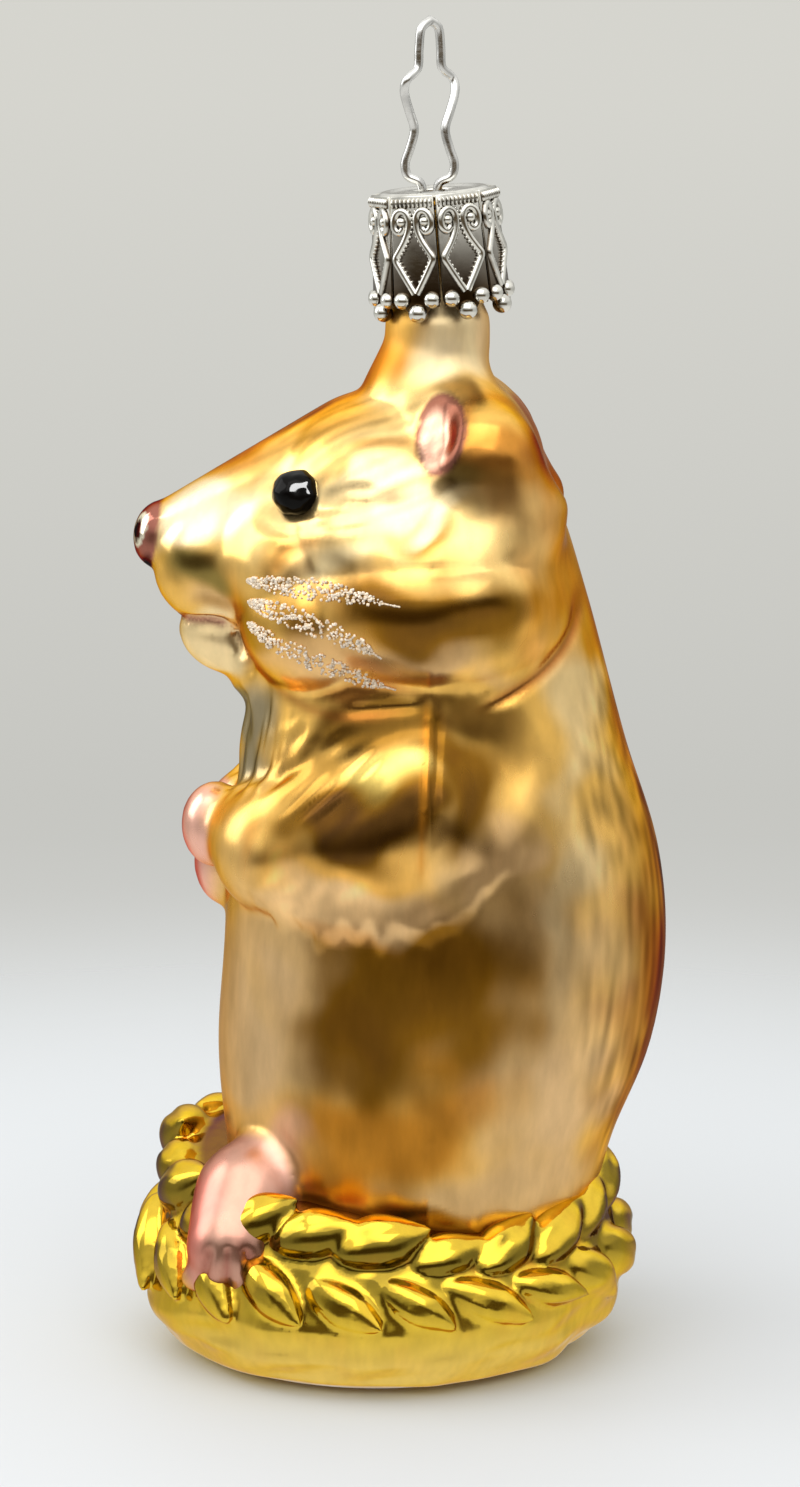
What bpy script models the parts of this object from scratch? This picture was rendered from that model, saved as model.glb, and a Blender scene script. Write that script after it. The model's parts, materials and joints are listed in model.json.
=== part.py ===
"""A blown-glass hamster ornament, sitting up in a round nest of wheat ears.

The glass figure is modelled whole from rounded forms and then parted into its named pieces by
thin cuts. A stamped metal cap sits on the glass neck tube, and a spring-wire hanger is pushed
through the cap into the tube. The figure faces -X, +Z is up, its left side is -Y, and the origin
is the centre of the nest's flat underside. Sizes are in millimetres, and MM turns them to metres.
"""

import math

import bmesh
import bpy
from mathutils import Matrix, Vector

MM = 0.001
GAP = 0.3  # between neighbouring pieces

# Blended glass: voxel size, smoothing passes and the triangles that each mass keeps
VOXEL = 0.7
SMOOTHING = 6
FIGURE_TRIANGLES = 2030
NEST_TRIANGLES = 1080
FOOT_TRIANGLES = 220

# Trunk: height, front x, back x, half width
TRUNK_STATIONS = (
    (10.5, -6.0, 13.5, 9.5),
    (13.5, -12.0, 17.8, 13.0),
    (20.0, -14.7, 20.4, 15.0),
    (28.0, -15.4, 23.6, 16.3),
    (37.0, -14.8, 25.0, 16.8),
    (46.0, -14.3, 24.1, 16.2),
    (55.0, -12.9, 21.3, 14.8),
    (62.0, -12.2, 19.4, 13.2),
    (69.0, -9.0, 17.5, 12.6),
    (76.0, -5.0, 15.3, 11.0),
    (82.0, 0.0, 12.4, 8.0),
)
TRUNK_SIDES = 40
SEAT_SIDES = 24
SEAT_CLEARANCE = 0.6

# Subdivisions of the balls that the forms and the parting cuts are made of
FORM_FINENESS = 4
HUSK_FINENESS = 3
CUT_FINENESS = 2
SLAB_SIZE = 80.0

# Rounded forms on the midline: centre, radii, pitch in degrees about Y
SKULL = ((2.0, 0.0, 76.6), (13.0, 12.6, 10.0), 12.0)
LOWER_LIP = ((-14.3, 0.0, 64.9), (4.5, 3.6, 3.5), 20.0)
THROAT = ((-8.5, 0.0, 62.5), (6.0, 6.5, 5.0), 0.0)
CHEST = ((-8.5, 0.0, 54.0), (4.6, 7.5, 9.0), 0.0)

# Limbs: the balls, as centre and radius, that a rounded body is drawn round
SNOUT = (((-1.0, 0.0, 77.6), 9.2), ((-18.6, 0.0, 73.7), 3.6))
NECK_ROOT = (((3.2, 0.0, 85.2), 5.9), ((4.2, 0.0, 92.0), 4.75), ((4.3, 0.0, 94.5), 4.7))

# Paired forms on the left side, mirrored to the right: centre, radii, pitch about Y
UPPER_LIP = ((-15.0, -2.0, 70.2), (5.9, 3.6, 4.5), 18.0)
CHEEK = ((3.2, -6.4, 69.6), (13.6, 9.4, 8.6), 3.0)
JOWL = ((-6.0, -5.0, 67.0), (8.0, 7.4, 6.4), 18.0)
EAR = ((7.8, -7.6, 80.3), (6.0, 5.0, 6.8), 0.0)
SHOULDER = ((5.0, -8.8, 51.5), (9.0, 8.0, 9.5), 0.0)

# Arms and feet, on the left side. The right foot is set further round the nest.
ARM = (((3.0, -8.8, 50.2), 9.3), ((-9.4, -6.5, 46.6), 6.0), ((-12.6, -4.6, 48.0), 3.9))
ARM_INSIDE = (-14.0, -1.0, 0.0)  # a point of the upright plane that each arm ends at
ARM_INSIDE_FACING = (0.22, 1.0, 0.0)
FOOT = (((-12.0, -10.4, 16.6), 5.1), ((-13.9, -14.4, 11.8), 4.5))
RIGHT_FOOT_TURN = -14.0

# Each paw: centre and radii. The left one lies over the right one.
PAWS = {
    "left": ((-15.4, -3.0, 48.3), (3.1, 3.2, 3.9)),
    "right": ((-14.6, 2.4, 43.9), (3.0, 3.4, 4.2)),
}
TOE_RADIUS = 1.5
TOE_REACH = 3.6  # toe centres from the foot's lower end
TOE_FANS = (-55.0, -20.0, 15.0, 50.0)
FOOT_CLEARANCE = 0.45

EYE_CENTRE = (-7.9, -7.1, 78.6)
EYE_RADIUS = 2.1
EYE_SIDES = 12
NOSE = ((-20.3, 0.0, 73.9), (2.4, 2.9, 3.1), 10.0)
EAR_DISH = ((4.4, -12.2, 84.0), (2.0, 2.3, 3.5), 10.0)
PART_MARGIN = 0.5  # how far a parting form stands outside the form that it parts

HEAD_BOTTOM = 60.6

# Neck tube of the glass, and the bore that takes the hanger's legs
NECK_X = 4.3
NECK_RADIUS = 4.65
NECK_BOTTOM = 92.4
COLLAR_BOTTOM = 94.6
COLLAR_RADIUS = 3.9
NECK_TOP = 103.3
BORE_RADIUS = 2.4
BORE_BOTTOM = 95.5
NECK_SIDES = 24

# Cap: flat petals bent down from a flat top, with the whole cap tipped a little
CAP_PETALS = 8
CAP_TOP = 104.3
CAP_RADIUS = 5.55  # axis to corner, at the top
CAP_FOOT_RADIUS = 6.2  # axis to corner, at the petals' feet
CAP_SIDE_DEPTH = 9.4
CAP_POINT_DEPTH = 10.9
CAP_WALL = 0.5
CAP_TILT = 4.5
CAP_SLIT = 0.4
CAP_SLIT_TOP = 0.9
CAP_HOLE_RADIUS = 1.6
CUT_SPARE = 1.0  # how far a cutting form runs on beyond what it cuts

# Hanger: half of the wire's route from the loop's top down to the legs, as half width and height
WIRE_RADIUS = 0.4
HANGER_X = 3.6
HANGER_TURN = 38.0
HANGER_HALF = (
    (0.0, 119.0),
    (0.95, 118.3),
    (1.2, 116.6),
    (1.35, 114.9),
    (2.45, 114.0),
    (2.55, 113.0),
    (1.85, 111.2),
    (1.35, 109.6),
    (1.7, 108.0),
    (2.15, 106.6),
    (1.9, 105.5),
    (0.85, 104.9),
    (0.65, 103.6),
    (0.9, 101.5),
    (1.2, 98.5),
)
HANGER_STEPS = 2  # pieces between two route points
HANGER_WAIST = 109.6
HANGER_SHOULDER = 114.0

# Nest: outline of the turned ring, as radius and height
NEST_X = -0.5
NEST_PROFILE = (
    (15.4, 0.0),
    (18.4, 1.2),
    (20.6, 3.8),
    (21.9, 7.4),
    (21.9, 11.0),
    (20.7, 14.0),
    (18.6, 15.9),
    (15.0, 16.4),
)
NEST_SIDES = 64
UNDERSIDE_TRIM = 0.25

# Husks: each row's ring radius, height, pitch along the ring, facing upwards, and radii
HUSKS_PER_ROW = 20
HUSK_ROWS = (
    (20.0, 14.4, 26.0, 48.0, (4.7, 2.0, 1.7)),
    (21.4, 9.4, -42.0, 6.0, (4.0, 1.8, 1.5)),
)

# Where the ring's upper half stands proud or dips: angle round it, rise, push outwards
NEST_SWELLS = (
    (145.0, 2.9, 0.7),
    (15.0, 1.0, 1.0),
    (-52.0, -2.4, 0.0),
)
NEST_SWELL_FOOT = 8.0
NEST_SWELL_TOP = 15.0
NEST_LEAN = 0.6  # how far the underside stands towards -X of the ring

# Paints: colour, roughness, metallic
PAINTS = {
    "wheat gold": ((0.83, 0.62, 0.10), 0.18, 0.9),
    "fur gold": ((0.72, 0.52, 0.27), 0.3, 0.8),
    "ear amber": ((0.66, 0.40, 0.16), 0.3, 0.8),
    "paw pink": ((0.82, 0.60, 0.56), 0.35, 0.5),
    "nose rose": ((0.42, 0.20, 0.17), 0.25, 0.5),
    "eye black": ((0.01, 0.01, 0.01), 0.1, 0.0),
    "neck cream": ((0.80, 0.70, 0.48), 0.3, 0.6),
    "cap silver": ((0.72, 0.71, 0.67), 0.22, 1.0),
    "wire silver": ((0.62, 0.61, 0.60), 0.25, 1.0),
}


def clear_scene():
    for old in list(bpy.data.objects):
        bpy.data.objects.remove(old, do_unlink=True)


def paint(made, name):
    """Gives an object one paint in place of any that it has."""
    colour, roughness, metallic = PAINTS[name]
    coat = bpy.data.materials.new(name)
    coat.use_nodes = True
    shader = coat.node_tree.nodes["Principled BSDF"]
    shader.inputs["Base Color"].default_value = (*colour, 1.0)
    shader.inputs["Roughness"].default_value = roughness
    shader.inputs["Metallic"].default_value = metallic
    made.data.materials.clear()
    made.data.materials.append(coat)


def link(name, mesh):
    made = bpy.data.objects.new(name, mesh)
    bpy.context.collection.objects.link(made)
    return made


def finish(name, bm):
    """Turns a bmesh in millimetres into an object in metres."""
    bmesh.ops.scale(bm, vec=(MM, MM, MM), verts=bm.verts)
    mesh = bpy.data.meshes.new(name)
    bm.to_mesh(mesh)
    bm.free()
    return link(name, mesh)


def apply_modifiers(made):
    """Bakes an object's modifiers into its mesh."""
    graph = bpy.context.evaluated_depsgraph_get()
    baked = bpy.data.meshes.new_from_object(made.evaluated_get(graph))
    made.modifiers.clear()
    made.data = baked


def mirrored(point):
    return (point[0], -point[1], point[2])


# The two sides, and what takes a place on the left to each of them
SIDES = {"left": tuple, "right": mirrored}


# Rounded forms


def placed(centre, radii, pitch=0.0):
    """A matrix that stretches a unit ball to its radii, turns it and moves it to its centre."""
    turn = Matrix.Rotation(math.radians(pitch), 4, "Y")
    return Matrix.Translation(centre) @ turn @ Matrix.Diagonal((*radii, 1.0))


def add_ball(bm, centre, radii, pitch=0.0, fineness=FORM_FINENESS):
    bmesh.ops.create_icosphere(
        bm, subdivisions=fineness, radius=1.0, matrix=placed(centre, radii, pitch)
    )


def add_limb(bm, balls, grow=0.0, fineness=FORM_FINENESS):
    """The smallest rounded body round two or more balls."""
    limb = bmesh.new()
    for centre, radius in balls:
        add_ball(limb, centre, (radius + grow,) * 3, fineness=fineness)
    bmesh.ops.delete(limb, geom=list(limb.edges) + list(limb.faces), context="EDGES_FACES")
    made = bmesh.ops.convex_hull(limb, input=limb.verts)
    inside = [item for item in made["geom_interior"] if isinstance(item, bmesh.types.BMVert)]
    bmesh.ops.delete(limb, geom=inside, context="VERTS")
    join_in(bm, limb)


def join_in(bm, other):
    """Moves the faces of another bmesh into this one."""
    mesh = bpy.data.meshes.new("joined")
    other.to_mesh(mesh)
    other.free()
    bm.from_mesh(mesh)
    bpy.data.meshes.remove(mesh)


def add_stack(bm, stations, sides):
    """A closed body through ellipses, one at each height."""
    rings = []
    for height, front, back, half_width in stations:
        ring = bmesh.ops.create_circle(bm, cap_ends=False, segments=sides, radius=1.0)["verts"]
        bmesh.ops.scale(bm, vec=((back - front) / 2, half_width, 1.0), verts=ring)
        bmesh.ops.translate(bm, vec=((front + back) / 2, 0.0, height), verts=ring)
        rings.append(ring)
    for lower, upper in zip(rings, rings[1:]):
        edges = {edge for ring in (lower, upper) for vert in ring for edge in vert.link_edges}
        level = [e for e in edges if abs(e.verts[0].co.z - e.verts[1].co.z) < 1e-6]
        bmesh.ops.bridge_loops(bm, edges=level)
    bmesh.ops.holes_fill(bm, edges=bm.edges, sides=0)
    bmesh.ops.recalc_face_normals(bm, faces=bm.faces)


def add_turned(bm, profile, centre, sides):
    """A closed turned body from an outline of radius and height that starts and ends on its axis."""
    verts = [bm.verts.new((radius, 0.0, height)) for radius, height in profile]
    edges = [bm.edges.new(pair) for pair in zip(verts, verts[1:])]
    bmesh.ops.spin(
        bm,
        geom=verts + edges,
        axis=(0.0, 0.0, 1.0),
        cent=(0.0, 0.0, 0.0),
        angle=math.tau,
        steps=sides,
        use_merge=True,
    )
    bmesh.ops.remove_doubles(bm, verts=bm.verts, dist=1e-4)
    bmesh.ops.translate(bm, vec=centre, verts=bm.verts)
    bmesh.ops.recalc_face_normals(bm, faces=bm.faces)


def smooth_stations(stations, steps):
    """Stations between the given ones, on a curve that passes through each of them."""
    made = []
    count = len(stations)
    for i in range(count - 1):
        before, a = stations[max(i - 1, 0)], stations[i]
        b, after = stations[i + 1], stations[min(i + 2, count - 1)]
        for step in range(steps):
            t = step / steps
            made.append(tuple(catmull(p, q, r, s, t) for p, q, r, s in zip(before, a, b, after)))
    made.append(stations[-1])
    return made


def catmull(before, a, b, after, t):
    """A value between a and b on the smooth curve through four values."""
    pull = 2.0 * a + (b - before) * t
    bend = (2.0 * before - 5.0 * a + 4.0 * b - after) * t * t
    twist = (3.0 * a - before - 3.0 * b + after) * t**3
    return 0.5 * (pull + bend + twist)


def blend(made, triangles, passes=SMOOTHING):
    """Melts the overlapping forms of an object into one smooth closed surface."""
    remesh = made.modifiers.new("melt", "REMESH")
    remesh.mode = "VOXEL"
    remesh.voxel_size = VOXEL * MM
    smooth = made.modifiers.new("smooth", "SMOOTH")
    smooth.factor = 0.5
    smooth.iterations = passes
    apply_modifiers(made)
    whole = sum(len(face.vertices) - 2 for face in made.data.polygons)
    fewer = made.modifiers.new("fewer", "DECIMATE")
    fewer.ratio = triangles / whole
    fewer.use_collapse_triangulate = True
    apply_modifiers(made)


# Cuts


def cut(made, bm, operation="DIFFERENCE"):
    """Takes a form out of a solid, or keeps only what the two share."""
    cutter = finish("cutter", bm)
    step = made.modifiers.new("cut", "BOOLEAN")
    step.operation = operation
    step.solver = "EXACT"
    step.object = cutter
    apply_modifiers(made)
    bpy.data.objects.remove(cutter, do_unlink=True)


def largest_only(made):
    """Keeps an object's largest loose body, without the crumbs that a cut can leave."""
    bm = bmesh.new()
    bm.from_mesh(made.data)
    left = set(bm.verts)
    bodies = []
    while left:
        body = {left.pop()}
        edge = set(body)
        while edge:
            edge = {e.other_vert(v) for v in edge for e in v.link_edges} - body
            body |= edge
        left -= body
        bodies.append(body)
    bodies.sort(key=len)
    crumbs = [vert for body in bodies[:-1] for vert in body]
    bmesh.ops.delete(bm, geom=crumbs, context="VERTS")
    bm.to_mesh(made.data)
    bm.free()


def part_off(whole, name, shape):
    """Splits off what lies inside a form, and leaves a thin gap round it.

    shape(bm, grow) adds the form, enlarged by grow, to a bmesh.
    """
    piece = link(name, whole.data.copy())
    for target, grow, operation in ((piece, 0.0, "INTERSECT"), (whole, GAP, "DIFFERENCE")):
        bm = bmesh.new()
        shape(bm, grow)
        cut(target, bm, operation)
        largest_only(target)
    return piece


def hollow(made, shape):
    """Takes a form out of a solid and clears away what it cuts loose."""
    bm = bmesh.new()
    shape(bm, 0.0)
    cut(made, bm)
    largest_only(made)


def ball_shape(centre, radii, pitch=0.0):
    def shape(bm, grow):
        add_ball(bm, centre, tuple(r + grow for r in radii), pitch, CUT_FINENESS)

    return shape


def arm_shape(side):
    """A form round an arm that stops short of the midline, so that the chest stays whole."""

    def shape(bm, grow):
        add_limb(bm, ARM, PART_MARGIN + grow, CUT_FINENESS)
        facing = Vector(ARM_INSIDE_FACING).normalized()
        trim(bm, Vector(ARM_INSIDE) + facing * grow, facing)
        if side == "right":
            mirror(bm)

    return shape


def slab_shape(bottom, top):
    """A block between two heights, wider than the whole figure."""

    def shape(bm, grow):
        low, high = bottom - grow, top + grow
        size = Matrix.Diagonal((SLAB_SIZE, SLAB_SIZE, high - low, 1.0))
        place = Matrix.Translation((0.0, 0.0, (low + high) / 2))
        bmesh.ops.create_cube(bm, size=1.0, matrix=place @ size)

    return shape


def trim(bm, point, facing):
    """Cuts off what lies beyond a plane and closes the body there."""
    everything = list(bm.verts) + list(bm.edges) + list(bm.faces)
    bmesh.ops.bisect_plane(
        bm, geom=everything, plane_co=point, plane_no=facing, clear_outer=True
    )
    rim = [edge for edge in bm.edges if edge.is_boundary]
    bmesh.ops.holes_fill(bm, edges=rim, sides=0)
    bmesh.ops.recalc_face_normals(bm, faces=bm.faces)


def mirror(bm):
    """Makes a form on the left side into its mirror image on the right."""
    bmesh.ops.scale(bm, vec=(1.0, -1.0, 1.0), verts=bm.verts)
    bmesh.ops.reverse_faces(bm, faces=bm.faces)


# The glass figure


def figure_body():
    """The hamster in one piece, from its seat in the nest to the foot of the neck tube."""
    bm = bmesh.new()
    stack = bmesh.new()
    add_stack(stack, smooth_stations(TRUNK_STATIONS, 4), TRUNK_SIDES)
    join_in(bm, stack)
    for centre, radii, pitch in (SKULL, NOSE, LOWER_LIP, THROAT, CHEST):
        add_ball(bm, centre, radii, pitch)
    for centre, radii, pitch in (UPPER_LIP, CHEEK, JOWL, EAR, SHOULDER):
        add_ball(bm, centre, radii, pitch)
        add_ball(bm, mirrored(centre), radii, pitch)
    for balls in (SNOUT, NECK_ROOT, ARM, mirrored_limb(ARM)):
        add_limb(bm, balls)
    for centre, radii in PAWS.values():
        add_ball(bm, centre, radii)
    made = finish("trunk", bm)
    blend(made, FIGURE_TRIANGLES)
    return made


def mirrored_limb(balls):
    return tuple((mirrored(centre), radius) for centre, radius in balls)


def neck_tube():
    """The straight glass tube above the head, with the bore that the hanger's legs go down."""
    profile = (
        (0.0, NECK_BOTTOM),
        (NECK_RADIUS, NECK_BOTTOM),
        (NECK_RADIUS, COLLAR_BOTTOM - 1.4),
        (COLLAR_RADIUS, COLLAR_BOTTOM),
        (COLLAR_RADIUS, NECK_TOP),
        (BORE_RADIUS, NECK_TOP),
        (BORE_RADIUS, BORE_BOTTOM),
        (0.0, BORE_BOTTOM),
    )
    bm = bmesh.new()
    add_turned(bm, profile, (NECK_X, 0.0, 0.0), NECK_SIDES)
    made = finish("neck_tube", bm)
    paint(made, "neck cream")


def eye(side, centre):
    bm = bmesh.new()
    bmesh.ops.create_uvsphere(
        bm,
        u_segments=EYE_SIDES,
        v_segments=EYE_SIDES // 2,
        radius=EYE_RADIUS,
        matrix=Matrix.Translation(centre) @ Matrix.Rotation(math.pi / 2, 4, "X"),
    )
    made = finish(f"eye_{side}", bm)
    paint(made, "eye black")


def wider(form, margin):
    centre, radii, pitch = form
    return centre, tuple(radius + margin for radius in radii), pitch


def part_figure(figure):
    """Divides the glass figure into its named pieces. What is left is the trunk."""
    paint(figure, "fur gold")
    for side, (centre, radii) in PAWS.items():
        paint(part_off(figure, f"paw_{side}", ball_shape(centre, radii)), "paw pink")
    for side in SIDES:
        part_off(figure, f"arm_{side}", arm_shape(side))
    head = part_off(figure, "head", slab_shape(HEAD_BOTTOM, NECK_BOTTOM - GAP))
    paint(part_off(head, "nose", ball_shape(*wider(NOSE, GAP))), "nose rose")
    for side, turn in SIDES.items():
        centre, radii, pitch = wider(EAR, PART_MARGIN)
        ear = part_off(head, f"ear_{side}", ball_shape(turn(centre), radii, pitch))
        centre, radii, pitch = EAR_DISH
        hollow(ear, ball_shape(turn(centre), radii, pitch))
        paint(ear, "ear amber")
        eye(side, turn(EYE_CENTRE))
        hollow(head, ball_shape(turn(EYE_CENTRE), (EYE_RADIUS + GAP,) * 3))


# The nest and the feet on it


def nest():
    """A ring of wheat ears on a plain rounded base: two rows of husks spread from one stem line."""
    bm = bmesh.new()
    ring = bmesh.new()
    outline = ((0.0, 0.0), *NEST_PROFILE, (0.0, NEST_PROFILE[-1][1]))
    add_turned(ring, outline, (0.0, 0.0, 0.0), NEST_SIDES)
    join_in(bm, ring)
    for row, (ring_radius, height, pitch, facing, radii) in enumerate(HUSK_ROWS):
        length, width, depth = radii
        tip_up = Matrix.Rotation(math.radians(pitch), 4, "X")
        lie_back = Matrix.Rotation(math.radians(-facing), 4, "Y")
        husk = Matrix.Translation((ring_radius, 0.0, height)) @ lie_back @ tip_up
        for step in range(HUSKS_PER_ROW):
            around = math.tau * (step + 0.5 * row) / HUSKS_PER_ROW
            place = Matrix.Rotation(around, 4, "Z") @ husk
            size = Matrix.Diagonal((depth, length, width, 1.0))
            bmesh.ops.create_icosphere(
                bm, subdivisions=HUSK_FINENESS, radius=1.0, matrix=place @ size
            )
    swell(bm)
    made = finish("nest", bm)
    blend(made, NEST_TRIANGLES, passes=2)
    made.data.transform(Matrix.Translation((NEST_X * MM, 0.0, 0.0)))
    flatten(made)
    paint(made, "wheat gold")
    return made


def swell(bm):
    """Gives the ring its uneven top and its leaning foot, as a hand-finished mould has them."""
    for vert in bm.verts:
        around = math.atan2(vert.co.y, vert.co.x)
        share = (vert.co.z - NEST_SWELL_FOOT) / (NEST_SWELL_TOP - NEST_SWELL_FOOT)
        upper = min(max(share, 0.0), 1.0)
        outward = Vector((vert.co.x, vert.co.y, 0.0)).normalized()
        vert.co.x -= NEST_LEAN * min(max(1.0 - vert.co.z / NEST_SWELL_FOOT, 0.0), 1.0)
        for angle, rise, push in NEST_SWELLS:
            near = max(math.cos(around - math.radians(angle)), 0.0) ** 3 * upper
            vert.co += outward * push * near
            vert.co.z += rise * near


def seat():
    """The dish that the trunk sits in: the trunk's own stations, a little wider all round."""
    room = SEAT_CLEARANCE
    wide = [(z, front - room, back + room, half + room) for z, front, back, half in TRUNK_STATIONS[:5]]
    height, front, back, half = wide[0]
    wide[0] = (height - room, front, back, half)
    bm = bmesh.new()
    add_stack(bm, wide, SEAT_SIDES)
    return bm


def flatten(made):
    """Trims the underside to a true flat at height zero."""
    bm = bmesh.new()
    bm.from_mesh(made.data)
    level = Vector((0.0, 0.0, UNDERSIDE_TRIM * MM))
    trim(bm, level, Vector((0.0, 0.0, -1.0)))
    bmesh.ops.translate(bm, vec=-level, verts=bm.verts)
    bmesh.ops.triangulate(bm, faces=bm.faces)
    bm.to_mesh(made.data)
    bm.free()


def toes():
    """The toes' centres, fanned out below the left foot's end."""
    ankle, end = (Vector(ball[0]) for ball in (FOOT[0], FOOT[-1]))
    outward = Vector((end.x - ankle.x, end.y - ankle.y, 0.0)).normalized()
    along = Vector((-outward.y, outward.x, 0.0))
    for fan in TOE_FANS:
        swing = math.radians(fan)
        reach = along * math.sin(swing) - Vector((0.0, 0.0, math.cos(swing)))
        yield end + outward * TOE_RADIUS + reach * TOE_REACH


def to_right(bm):
    """Turns the left foot's form into the right one's."""
    mirror(bm)
    turn = Matrix.Rotation(math.radians(RIGHT_FOOT_TURN), 3, "Z")
    bmesh.ops.rotate(bm, cent=(0.0, 0.0, 0.0), matrix=turn, verts=bm.verts)


def foot(side):
    """A foot that steps over the nest's ring, with four toes at its lower end."""
    bm = bmesh.new()
    add_limb(bm, FOOT)
    for centre in toes():
        add_ball(bm, centre, (TOE_RADIUS,) * 3, fineness=CUT_FINENESS + 1)
    if side == "right":
        to_right(bm)
    made = finish(f"foot_{side}", bm)
    blend(made, FOOT_TRIANGLES, passes=2)
    paint(made, "paw pink")


def make_room_for_foot(made, side):
    """Takes a foot's leg and toes, a little enlarged, out of the nest or the trunk."""
    leg = bmesh.new()
    add_limb(leg, FOOT, FOOT_CLEARANCE, CUT_FINENESS)
    forms = [leg]
    for centre in toes():
        toe = bmesh.new()
        add_ball(toe, centre, (TOE_RADIUS + FOOT_CLEARANCE,) * 3, fineness=CUT_FINENESS)
        forms.append(toe)
    for form in forms:
        if side == "right":
            to_right(form)
        cut(made, form)
    largest_only(made)


# Cap and hanger


def cap():
    """A flat-topped metal cap of bent petals, slit between them and pointed at their feet."""
    bm = bmesh.new()
    add_prism(bm, CAP_FOOT_RADIUS, CAP_RADIUS, -CAP_POINT_DEPTH, 0.0)
    made = finish("cap", bm)
    inner = bmesh.new()
    inset = CAP_WALL / math.cos(math.pi / CAP_PETALS)
    slope = (CAP_FOOT_RADIUS - CAP_RADIUS) / CAP_POINT_DEPTH
    add_prism(
        inner,
        CAP_FOOT_RADIUS + slope * CUT_SPARE - inset,
        CAP_RADIUS + slope * CAP_WALL - inset,
        -CAP_POINT_DEPTH - CUT_SPARE,
        -CAP_WALL,
    )
    cut(made, inner)
    for petal in range(CAP_PETALS):
        cut(made, slit(math.tau * petal / CAP_PETALS))
    hole = bmesh.new()
    bmesh.ops.create_cone(
        hole,
        cap_ends=True,
        segments=NECK_SIDES,
        radius1=CAP_HOLE_RADIUS,
        radius2=CAP_HOLE_RADIUS,
        depth=2 * (CAP_WALL + CUT_SPARE),
    )
    cut(made, hole)
    tip = Matrix.Rotation(math.radians(-CAP_TILT), 4, "Y")
    pivot = Matrix.Translation((0.0, 0.0, -CAP_SIDE_DEPTH / 2 * MM))
    place = Matrix.Translation((NECK_X * MM, 0.0, CAP_TOP * MM))
    made.data.transform(place @ pivot @ tip @ pivot.inverted())
    paint(made, "cap silver")


def add_prism(bm, foot_radius, top_radius, low, high):
    """A tapering block with a flat side for each petal."""
    bmesh.ops.create_cone(
        bm,
        cap_ends=True,
        segments=CAP_PETALS,
        radius1=foot_radius,
        radius2=top_radius,
        depth=high - low,
        matrix=Matrix.Translation((0.0, 0.0, (low + high) / 2)),
    )


def slit(around):
    """The narrow wedge between two petals, which opens out between their pointed feet."""
    half_foot = CAP_FOOT_RADIUS * math.sin(math.pi / CAP_PETALS)
    outline = (
        (-CAP_SLIT / 2, -CAP_SLIT_TOP),
        (-CAP_SLIT / 2, -CAP_SIDE_DEPTH),
        (-half_foot, -CAP_POINT_DEPTH),
        (-half_foot, -CAP_POINT_DEPTH - CUT_SPARE),
        (half_foot, -CAP_POINT_DEPTH - CUT_SPARE),
        (half_foot, -CAP_POINT_DEPTH),
        (CAP_SLIT / 2, -CAP_SIDE_DEPTH),
        (CAP_SLIT / 2, -CAP_SLIT_TOP),
    )
    near, far = CAP_RADIUS - 4 * CAP_WALL, CAP_FOOT_RADIUS + CUT_SPARE
    bm = bmesh.new()
    face = bm.faces.new([bm.verts.new((near, across, height)) for across, height in outline])
    made = bmesh.ops.extrude_face_region(bm, geom=[face])
    front = [item for item in made["geom"] if isinstance(item, bmesh.types.BMVert)]
    bmesh.ops.translate(bm, vec=(far - near, 0.0, 0.0), verts=front)
    bmesh.ops.rotate(bm, cent=(0, 0, 0), matrix=Matrix.Rotation(around, 3, "Z"), verts=bm.verts)
    bmesh.ops.recalc_face_normals(bm, faces=bm.faces)
    return bm


def hanger():
    """A spring wire: a narrow loop, shoulders, a waist and hips, and two legs down into the tube."""
    half = smooth_stations(HANGER_HALF, HANGER_STEPS)
    route = [(-width, height) for width, height in reversed(half)]
    route += [(width, height) for width, height in half[1:]]
    curve = bpy.data.curves.new("hanger", "CURVE")
    curve.dimensions = "3D"
    curve.bevel_depth = WIRE_RADIUS * MM
    curve.bevel_resolution = 1
    curve.use_fill_caps = True
    wire = curve.splines.new("POLY")
    wire.points.add(len(route) - 1)
    for point, (across, height) in zip(wire.points, route):
        turn = math.radians(HANGER_TURN) * loop_share(height)
        place = (HANGER_X + across * math.cos(turn), across * math.sin(turn), height)
        point.co = (*(value * MM for value in place), 1.0)
    made = link("hanger", curve)
    paint(made, "wire silver")


def loop_share(height):
    """How much of the loop's twist a height has: all of it at the top, none at the waist."""
    return min(max((height - HANGER_WAIST) / (HANGER_SHOULDER - HANGER_WAIST), 0.0), 1.0)


def main():
    clear_scene()
    figure = figure_body()
    ring = nest()
    cut(ring, seat())
    part_figure(figure)
    for side in SIDES:
        foot(side)
        make_room_for_foot(ring, side)
        make_room_for_foot(figure, side)
    neck_tube()
    cap()
    hanger()


main()
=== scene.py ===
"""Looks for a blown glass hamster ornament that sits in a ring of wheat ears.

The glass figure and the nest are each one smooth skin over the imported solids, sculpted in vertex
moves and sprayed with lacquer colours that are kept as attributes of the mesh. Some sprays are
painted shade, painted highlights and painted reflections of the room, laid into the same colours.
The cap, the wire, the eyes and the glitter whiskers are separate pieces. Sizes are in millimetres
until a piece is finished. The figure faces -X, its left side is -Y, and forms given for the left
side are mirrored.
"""

import json
import math
import random

import bmesh
import bpy
import numpy as np
from mathutils import Matrix, Vector, noise
from mathutils.bvhtree import BVHTree

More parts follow.
